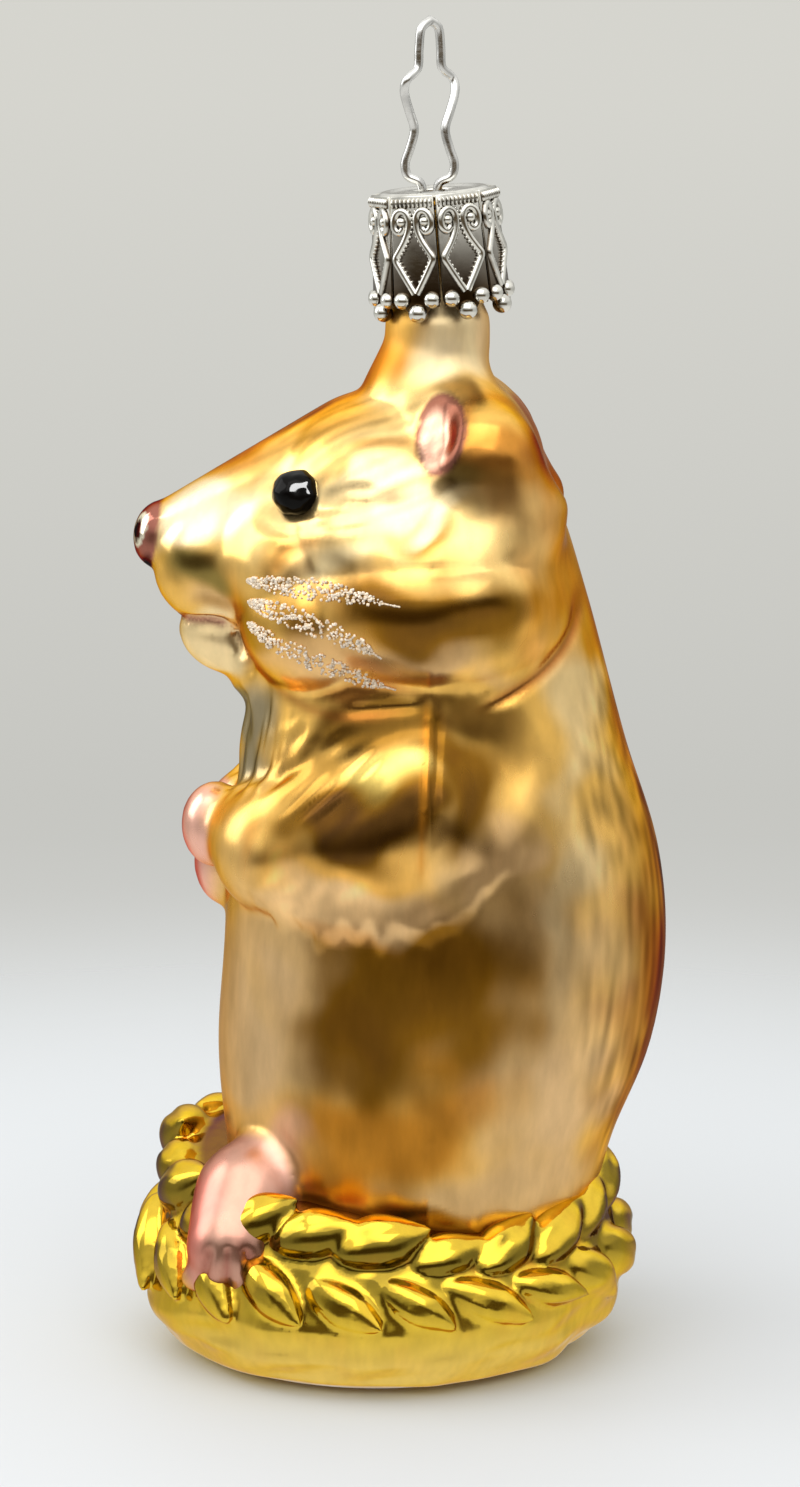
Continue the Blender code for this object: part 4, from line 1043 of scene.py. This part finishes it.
def paint_nest(made):
    """Straw gold with painted shade on the flanks and in the creases, and a painted shadow under the
    figure, over a pale and duller foot.
    """
    crease = hollowness(made, CREASE_PASSES)
    points = points_of(made)
    coat = first_coat(points, "straw")
    wander = grain(points, np.ones(len(points), bool), 2.5, seed=9)
    # painted shade: skin that faces sideways or down, away from the crests, goes towards darker straw;
    # the crests and faces that point up stay bright
    upper = rise(normals_of(made)[:, 2] + 0.7 * wander, *HUSK_TOPS)
    flank_shade = np.clip(rise(crease, *HUSK_CRESTS) * 0.35 + 0.95 - upper, 0, 1)
    flank_shade *= 0.35 + 0.65 * rise(points[:, 2], *HUSK_HEIGHTS)
    lay_on(coat, "shaded straw", flank_shade)
    amber = rise(crease, *AMBER_CREASES) * 0.85 + 0.25 * wander
    lay_on(coat, "amber", np.clip(amber, 0, 1))
    # painted shade in the deeper creases
    lay_on(coat, "shade umber", rise(crease, *UMBER_CREASES) * 0.8)
    foot = 1 - rise(points[:, 2], *PALE_FOOT)
    lay_on(coat, "pale gold", 0.35 * foot)
    # painted shadow on the ring where the figure sits on it
    radius = np.hypot(points[:, 0] - NEST_X, points[:, 1])
    seat = 1 - rise(radius, NEST_SEAT - SEAT_EDGE, NEST_SEAT + SEAT_EDGE)
    lay_on(coat, "shade umber", 0.9 * seat)
    keep_colour(made, "paint", coat)
    keep_value(made, "dull", 1 + 0.8 * foot)


def build_nest():
    bm = bmesh.new()
    ring = bmesh.new()
    add_turned(ring, NEST_PROFILE, (0, 0, 0), sides=96)
    join_in(bm, ring)
    lay_husks(bm)
    swell(bm)
    made = new_object("nest_skin", bm)
    melt(made, NEST_VOXEL, NEST_SMOOTHING)
    made.data.transform(Matrix.Translation((NEST_X, 0, 0)))
    sculpt_nest(made)
    paint_nest(made)
    to_metres(made, lacquered_glass("wheat lacquer and painted shade", rough=(0.08, 0.17), coat=0.3, bump=0.06))
    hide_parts("nest")


# ---- Eyes ----

EYE_SWELL = 1.1
EYE_SQUASH = 0.9
EYE_UNEVEN, EYE_LUMPS = 0.05, 2.3
EYE_PROUD = 0.7  # how far the bead stands out of its solid, clear of the sprayed lacquer


def build_eye(side, turn):
    """A bead of black enamel with a slightly uneven rim."""
    bm = bmesh.new()
    bmesh.ops.create_icosphere(bm, subdivisions=5, radius=1)
    for vert in bm.verts:
        uneven = 1 + EYE_UNEVEN * noise.noise(vert.co * EYE_LUMPS + Vector((3, 1, 7)))
        vert.co *= EYE_RADIUS * uneven * EYE_SWELL
        vert.co.z *= EYE_SQUASH
    place = turn(EYE_CENTRE)
    proud = math.copysign(EYE_PROUD, place[1])
    bmesh.ops.translate(bm, vec=(place[0], place[1] + proud, place[2]), verts=bm.verts)
    made = new_object(f"enamel_eye_{side}", bm)
    to_metres(made, eye_enamel())
    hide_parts(f"eye_{side}")


# ---- Glitter whiskers ----

# Each whisker on the side: (x, z) route and half height of the stroke at its thickest
WHISKERS = (
    (((-12.2, 71.2), (-8.5, 71), (-3.4, 70.7), (1, 70)), 0.85),
    (((-12.1, 69.3), (-8.5, 68.5), (-3, 66.7), (-0.6, 65.3)), 0.9),
    (((-12.2, 67.4), (-8.8, 65.6), (-2.6, 63.2), (0.6, 62.2)), 0.85),
)
GRAINS_PER_WHISKER = 400
WHISKER_CROWDING = 1.15  # above 1, more grains lie near the root
WHISKER_END = 1.15  # above 1, the stroke runs thin before its end
WHISKER_BLUNTNESS = 0.6
WHISKER_SLANT = 0.3
GRAIN_CORNERS = 12
GRAIN_SIZES = (0.12, 0.2)
GRAIN_PROUD = 0.4  # how far a grain's middle stands off the lacquer, as a share of its size
TAIL_FROM, TAIL_SIZE = 0.8, 0.6  # where a stroke's tail starts, and its grains' share of size
OUTSIDE = 30  # how far out the grains are cast onto the cheek from


def grain_of_glitter(bm, where, facing, size, hand):
    """One rough grain, half sunk in the lacquer."""
    turn = facing.to_track_quat("Z", "Y").to_matrix().to_4x4()
    tumble = Matrix.Rotation(hand.uniform(0, math.tau), 4, Vector((hand.random(), 0.4, 0.7)))
    shape = Matrix.Diagonal((size, size * hand.uniform(0.7, 1.2), size * hand.uniform(0.6, 1), 1))
    place = Matrix.Translation(where) @ turn @ tumble @ shape
    bmesh.ops.create_icosphere(bm, subdivisions=1, radius=1, matrix=place)


def one_per_grain(low, high, corners, hand):
    """A random number for each grain, repeated for each of its corners."""
    grains = corners // GRAIN_CORNERS + 1
    drawn = np.array([hand.uniform(low, high) for _ in range(grains)])
    return drawn.repeat(GRAIN_CORNERS)[:corners]


def build_whiskers(figure):
    """Three tapering strokes of coarse glitter on each cheek."""
    skin = bmesh.new()
    skin.from_mesh(figure.data)
    bmesh.ops.scale(skin, vec=(1 / MM,) * 3, verts=skin.verts)
    tree = BVHTree.FromBMesh(skin)
    skin.free()
    hand = random.Random(4)
    bm = bmesh.new()
    for side in (-1, 1):
        for route, half in WHISKERS:
            path = smooth_rows(route, steps=8)
            for _ in range(GRAINS_PER_WHISKER):
                t = hand.random() ** WHISKER_CROWDING
                spot = t * (len(path) - 1) * 0.999
                (x0, z0), (x1, z1) = path[int(spot)], path[int(spot) + 1]
                share = spot - int(spot)
                swell_out = math.sin(math.pi * min(t * WHISKER_END, 1))
                body = max(swell_out, 0) ** WHISKER_BLUNTNESS
                offset = hand.uniform(-1, 1) * half * body
                x = x0 + (x1 - x0) * share + offset * WHISKER_SLANT
                z = z0 + (z1 - z0) * share + offset
                start = Vector((x, side * OUTSIDE, z))
                hit, facing, _face, _gap = tree.ray_cast(start, Vector((0, -side, 0)))
                if hit is not None:
                    size = hand.uniform(*GRAIN_SIZES) * (1 if t < TAIL_FROM else TAIL_SIZE)
                    grain_of_glitter(bm, hit + facing * size * GRAIN_PROUD, facing, size, hand)
    made = new_object("glitter_whiskers", bm)
    corners = len(made.data.vertices)
    shade = one_per_grain(0.6, 1, corners, hand)
    warm = one_per_grain(0, 1, corners, hand)
    tints = np.stack((shade, shade * (0.9 - 0.1 * warm), shade * (0.78 - 0.22 * warm)), axis=1)
    keep_colour(made, "tint", tints)
    to_metres(made, glitter_grains())
    made.data.shade_flat()


# ---- Cap ----

CAP_PETALS = 8
CAP_TOP = 104.3
CAP_RADIUS = 5.55
CAP_FOOT_RADIUS = 6.2
CAP_SIDE_DEPTH = 9.4
CAP_POINT_DEPTH = 10.9
CAP_TILT = 4.5
CAP_WALL = 0.3
CAP_HOLE = 1.6
CAP_BEVEL = 0.07
CAP_FLARE = (CAP_FOOT_RADIUS - CAP_RADIUS) / CAP_POINT_DEPTH
PETAL_GAP = 0.16
HALF_PETAL = math.sin(math.pi / CAP_PETALS)
FLAT_SHARE = math.cos(math.pi / CAP_PETALS)

# A petal's ornament, as (across, down): across 1 is the petal's edge, down 1 is its side's foot
SCROLL = (
    (0.40, 0.30), (0.56, 0.335), (0.76, 0.30), (0.80, 0.225), (0.68, 0.16), (0.46, 0.135),
    (0.25, 0.16), (0.15, 0.225), (0.20, 0.32), (0.38, 0.42), (0.62, 0.51), (0.78, 0.58),
    (0.60, 0.67), (0.34, 0.78), (0.05, 0.90),
)
PETAL_FOOT = ((-0.86, 1.03), (-0.5, 1.035), (-0.3, 1.1), (0, 1.15))
SCROLL_WIRE = 0.35
CURL_BEAD = ((0.50, 0.235), 0.46)
FOOT_BEADS = (((-0.6, 0.96), 0.76), ((0, 1.08), 0.86), ((0.6, 0.96), 0.76))
RIM_RIBS = 10
RIM_RIB, RIM_RIB_DOWN, RIM_RIB_PROUD = (0.3, 0.125, 0.45), 0.065, 0.1
NOTCHES_FROM = 30  # the place along the scroll where its rope notches start
NOTCH, NOTCH_OUT = (0.26, 0.17, 0.17), 0.3
SCROLL_PROUD, CURL_PROUD, FOOT_BEAD_PROUD = 0.05, 0.02, -0.05
PETAL_SIDE = 0.93  # how far down a petal's straight sides run


def petal_point(across, down, proud=0):
    """A point on a petal that faces +X, from its place across and down the petal."""
    depth = down * CAP_SIDE_DEPTH
    radius = CAP_RADIUS + CAP_FLARE * depth
    return Vector((radius * FLAT_SHARE + proud, across * radius * HALF_PETAL, -depth))


def add_wire(bm, route, radius, sides=8):
    """A round wire along a route of points."""
    curve = bpy.data.curves.new("wire", "CURVE")
    curve.dimensions = "3D"
    curve.bevel_depth = radius
    curve.bevel_resolution = sides // 4
    curve.use_fill_caps = True
    spline = curve.splines.new("POLY")
    spline.points.add(len(route) - 1)
    for point, place in zip(spline.points, route):
        point.co = (*place, 1)
    holder = linked("wire", curve)
    graph = bpy.context.evaluated_depsgraph_get()
    mesh = bpy.data.meshes.new_from_object(holder.evaluated_get(graph))
    bm.from_mesh(mesh)
    bpy.data.objects.remove(holder, do_unlink=True)
    bpy.data.curves.remove(curve)
    bpy.data.meshes.remove(mesh)


def build_petal():
    """One stamped petal that faces +X: sheet, two mirrored scrolls, beads and a milled rim."""
    bm = bmesh.new()
    edge = 1 - PETAL_GAP / (CAP_RADIUS * HALF_PETAL)
    outline = [(-edge, 0), (-edge, PETAL_SIDE), *PETAL_FOOT]
    outline += [(-across, down) for across, down in reversed(outline[:-1])]
    sheet = bm.faces.new([bm.verts.new(petal_point(u, v)) for u, v in outline])
    back = bmesh.ops.extrude_face_region(bm, geom=[sheet])["geom"]
    inner = [item for item in back if isinstance(item, bmesh.types.BMVert)]
    bmesh.ops.translate(bm, vec=(-CAP_WALL, 0, 0), verts=inner)
    bmesh.ops.recalc_face_normals(bm, faces=bm.faces)
    sharp = [e for e in bm.edges if e.calc_face_angle(0) > 0.5]
    bmesh.ops.bevel(
        bm, geom=sharp, offset=CAP_BEVEL, offset_type="OFFSET", segments=2, profile=0.5,
        affect="EDGES", material=-1,
    )
    for side in (-1, 1):
        scroll = smooth_rows(SCROLL, steps=5)
        route = [petal_point(side * u, v, SCROLL_PROUD) for u, v in scroll]
        add_wire(bm, route, SCROLL_WIRE)
        for k in range(NOTCHES_FROM, len(route) - 3, 2):
            step = (route[k + 1] - route[k - 1]).normalized()
            out = step.cross(Vector((1, 0, 0))) * side
            add_ball(bm, route[k] + out * NOTCH_OUT, NOTCH, fineness=1)
        (across, down), radius = CURL_BEAD
        add_ball(bm, petal_point(side * across, down, CURL_PROUD), (radius,) * 3, fineness=3)
    for (across, down), radius in FOOT_BEADS:
        add_ball(bm, petal_point(across, down, FOOT_BEAD_PROUD), (radius,) * 3, fineness=3)
    for k in range(RIM_RIBS):
        across = (2 * (k + 0.5) / RIM_RIBS - 1) * edge
        add_ball(bm, petal_point(across, RIM_RIB_DOWN, RIM_RIB_PROUD), RIM_RIB, fineness=2)
    return bm


def add_top_disc(bm):
    """The cap's flat top with its raised rim and the hole for the wire."""
    disc = bmesh.new()
    flat = CAP_RADIUS * FLAT_SHARE - 0.15
    outline = (
        (CAP_HOLE, -CAP_WALL), (CAP_HOLE, 0), (1.9, 0.06), (2.2, 0), (flat - 1.3, 0),
        (flat - 0.9, 0.14), (flat - 0.45, 0.12), (flat - 0.1, -0.05), (flat + 0.08, -0.3),
        (flat - 0.1, -0.5), (flat - 0.3, -CAP_WALL - 0.05),
    )
    verts = [disc.verts.new((radius, 0, height)) for radius, height in outline]
    edges = [disc.edges.new(pair) for pair in zip(verts, verts[1:] + verts[:1])]
    spin_round(disc, verts + edges, sides=64)
    join_in(bm, disc)


TARNISH_DEPTH = (0.04, 0.2)  # how far off the sheet the tarnish fades over
TARNISH_TOP = (0.1, 0.3)


def tarnish_of(points):
    """1 on the flat sheet of the petals, where tarnish stays, and 0 on whatever stands proud."""
    petal = math.tau / CAP_PETALS
    facing = (np.floor(np.arctan2(points[:, 1], points[:, 0]) / petal) + 0.5) * petal
    outward = points[:, 0] * np.cos(facing) + points[:, 1] * np.sin(facing)
    sheet = (CAP_RADIUS - points[:, 2] * CAP_FLARE) * FLAT_SHARE
    return (1 - rise(outward - sheet, *TARNISH_DEPTH)) * rise(-points[:, 2], *TARNISH_TOP)


def build_cap():
    bm = bmesh.new()
    for k in range(CAP_PETALS):
        petal = build_petal()
        turn = Matrix.Rotation(math.tau * (k + 0.5) / CAP_PETALS, 3, "Z")
        bmesh.ops.rotate(petal, cent=(0, 0, 0), matrix=turn, verts=petal.verts)
        join_in(bm, petal)
    add_top_disc(bm)
    tip = Matrix.Rotation(math.radians(-CAP_TILT), 4, "Y")
    pivot = Matrix.Translation((0, 0, -CAP_SIDE_DEPTH / 2))
    place = Matrix.Translation((NECK_X, 0, CAP_TOP))
    made = new_object("stamped_cap", bm)
    keep_value(made, "tarnish", tarnish_of(points_of(made)))
    made.data.transform(place @ pivot @ tip @ pivot.inverted())
    to_metres(made, bright_metal("stamped silver", (0.76, 0.75, 0.70), rough=0.12))
    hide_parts("cap")


# ---- Hanger ----

WIRE_RADIUS = 0.4
HANGER_X = 3.6
HANGER_TURN = 38
# Half the wire from the top of its loop down: half width, height
HANGER_HALF = (
    (0, 119), (0.95, 118.3), (1.2, 116.6), (1.35, 114.9), (2.45, 114), (2.55, 113),
    (1.85, 111.2), (1.35, 109.6), (1.7, 108), (2.15, 106.6), (1.9, 105.5), (0.85, 104.9),
    (0.65, 103.6), (0.9, 101.5), (1.2, 98.5),
)
HANGER_WAIST = 109.6
HANGER_SHOULDER = 114


def build_hanger():
    """A spring wire: a narrow loop, shoulders, a waist and hips, and two legs down into the tube."""
    half = smooth_rows(HANGER_HALF, steps=6)
    route = [(-width, height) for width, height in reversed(half)]
    route += half[1:]
    places = []
    for across, height in route:
        share = min(max((height - HANGER_WAIST) / (HANGER_SHOULDER - HANGER_WAIST), 0), 1)
        turn = math.radians(HANGER_TURN) * share
        places.append((HANGER_X + across * math.cos(turn), across * math.sin(turn), height))
    bm = bmesh.new()
    add_wire(bm, places, WIRE_RADIUS, sides=16)
    made = new_object("wire_hanger", bm)
    to_metres(made, bright_metal("spring wire", (0.74, 0.74, 0.73), rough=0.2))
    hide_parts("hanger")


# ---- Studio ----

CAMERA_PLACE = (1, -450, 140)
CAMERA_AIM = (1, 0, 55)
CAMERA_LENS = 124.2
# Greys of the backdrop and the room by the height of the line of sight: 0.5 is level, 1 straight up
BACKDROP = ((0.37, (0.70, 0.71, 0.70)), (0.40, (0.565, 0.565, 0.535)), (0.47, (0.67, 0.665, 0.62)))
ROOM = (
    (0, (0.94, 0.93, 0.88)), (0.28, (0.84, 0.83, 0.79)), (0.42, (0.58, 0.58, 0.55)),
    (0.58, (0.64, 0.64, 0.61)), (0.72, (1.02, 1.01, 0.97)), (1, (1.20, 1.19, 1.14)),
)
# The dark cloths: colour, and how much they cover by depth (0 is behind the lens) and by height
CLOTH = (0.11, 0.08, 0.045)
CLOTH_BY_DEPTH = ((0.14, 1), (0.38, 0), (0.88, 0), (0.98, 0.4))
CLOTH_BY_HEIGHT = ((0.29, 0), (0.42, 1), (0.52, 1), (0.64, 0))
# Lamps: name, place, aim, width and height, power, colour
LAMPS = (
    ("soft box", (-60, -260, 420), (0, 0, 60), (640, 420), 1.2, (1, 0.98, 0.95)),
    ("side box", (-420, 60, 260), (0, 0, 50), (260, 360), 0.6, (1, 1, 1)),
)
CATCH_LIGHT = (
    "catch light", (44, -223, 281), (-8, 0, 78), (360, 240), 28, (1, 1, 1),
)
FLOOR_RADIUS = 420
FLOOR_WHITE = (0.60, 0.63, 0.67)
FLOOR_FADE = (0.07, 0.20)  # metres from the middle over which the floor fades out


def aim_at(made, place, aim):
    """Puts a camera or a lamp in its place, facing its aim."""
    start, end = Vector(place) * MM, Vector(aim) * MM
    made.location = start
    made.rotation_euler = (end - start).to_track_quat("-Z", "Y").to_euler()


def place_camera():
    lens = bpy.data.cameras.new("camera")
    lens.lens = CAMERA_LENS
    lens.sensor_width = 36
    lens.sensor_fit = "AUTO"
    lens.clip_start = 10 * MM
    made = linked("camera", lens)
    aim_at(made, CAMERA_PLACE, CAMERA_AIM)
    bpy.context.scene.camera = made


def lay_floor():
    """A pale round floor that fades out into the backdrop."""
    bm = bmesh.new()
    bmesh.ops.create_circle(bm, cap_ends=True, segments=96, radius=FLOOR_RADIUS)
    made = new_object("studio_floor", bm)
    made.data.transform(Matrix.Scale(MM, 4))
    finish, tree, shader = blank_material("pale floor")
    shader.inputs["Base Color"].default_value = (*FLOOR_WHITE, 1)
    shader.inputs["Roughness"].default_value = 0.6
    where = tree.nodes.new("ShaderNodeTexCoord")
    reach = tree.nodes.new("ShaderNodeVectorMath")
    reach.operation = "LENGTH"
    tree.links.new(where.outputs["Object"], reach.inputs[0])
    fade = remap(tree, reach.outputs["Value"], (1, 0), FLOOR_FADE, "SMOOTHSTEP")
    tree.links.new(fade, shader.inputs["Alpha"])
    made.data.materials.append(finish)
    made.visible_glossy = False


def add_light(name, place, aim, size, power, colour):
    lamp = bpy.data.lights.new(name, "AREA")
    lamp.shape = "RECTANGLE"
    lamp.size, lamp.size_y = size[0] * MM, size[1] * MM
    lamp.energy = power
    lamp.color = colour
    made = linked(name, lamp)
    aim_at(made, place, aim)
    made.visible_camera = False
    return made


def add_catch_light():
    """A small window of light that only the two eyes see."""
    lamp = add_light(*CATCH_LIGHT)
    eyes = bpy.data.collections.new("eyes")
    for made in bpy.data.objects:
        if made.name.startswith("enamel_eye"):
            eyes.objects.link(made)
    lamp.light_linking.receiver_collection = eyes


def greys(stops):
    return [(place, (value,) * 3) for place, value in stops]


def light_studio():
    """A pale room with a bright ceiling. Only the glass sees the dark cloths round the lens."""
    world = bpy.data.worlds.new("studio")
    world.use_nodes = True
    bpy.context.scene.world = world
    tree = world.node_tree
    where = tree.nodes.new("ShaderNodeTexCoord")
    parts = tree.nodes.new("ShaderNodeSeparateXYZ")
    tree.links.new(where.outputs["Generated"], parts.inputs[0])
    level = remap(tree, parts.outputs["Z"], (0, 1), (-1, 1))
    depth = remap(tree, parts.outputs["Y"], (0, 1), (-1, 1))
    toward = ramp(tree, depth, greys(CLOTH_BY_DEPTH), "EASE")
    height = ramp(tree, level, greys(CLOTH_BY_HEIGHT), "EASE")
    hung = mix(tree, product(tree, toward, height), ramp(tree, level, ROOM), (*CLOTH, 1))
    rays = tree.nodes.new("ShaderNodeLightPath")
    seen = mix(tree, rays.outputs["Is Camera Ray"], hung, ramp(tree, level, BACKDROP))
    tree.links.new(seen, tree.nodes["Background"].inputs["Color"])
    for lamp in LAMPS:
        add_light(*lamp)


def main():
    figure = build_figure()
    build_nest()
    build_eye("left", tuple)
    build_eye("right", flipped)
    build_whiskers(figure)
    build_cap()
    build_hanger()
    place_camera()
    lay_floor()
    light_studio()
    add_catch_light()
    bpy.context.scene.view_settings.view_transform = "Standard"


main()
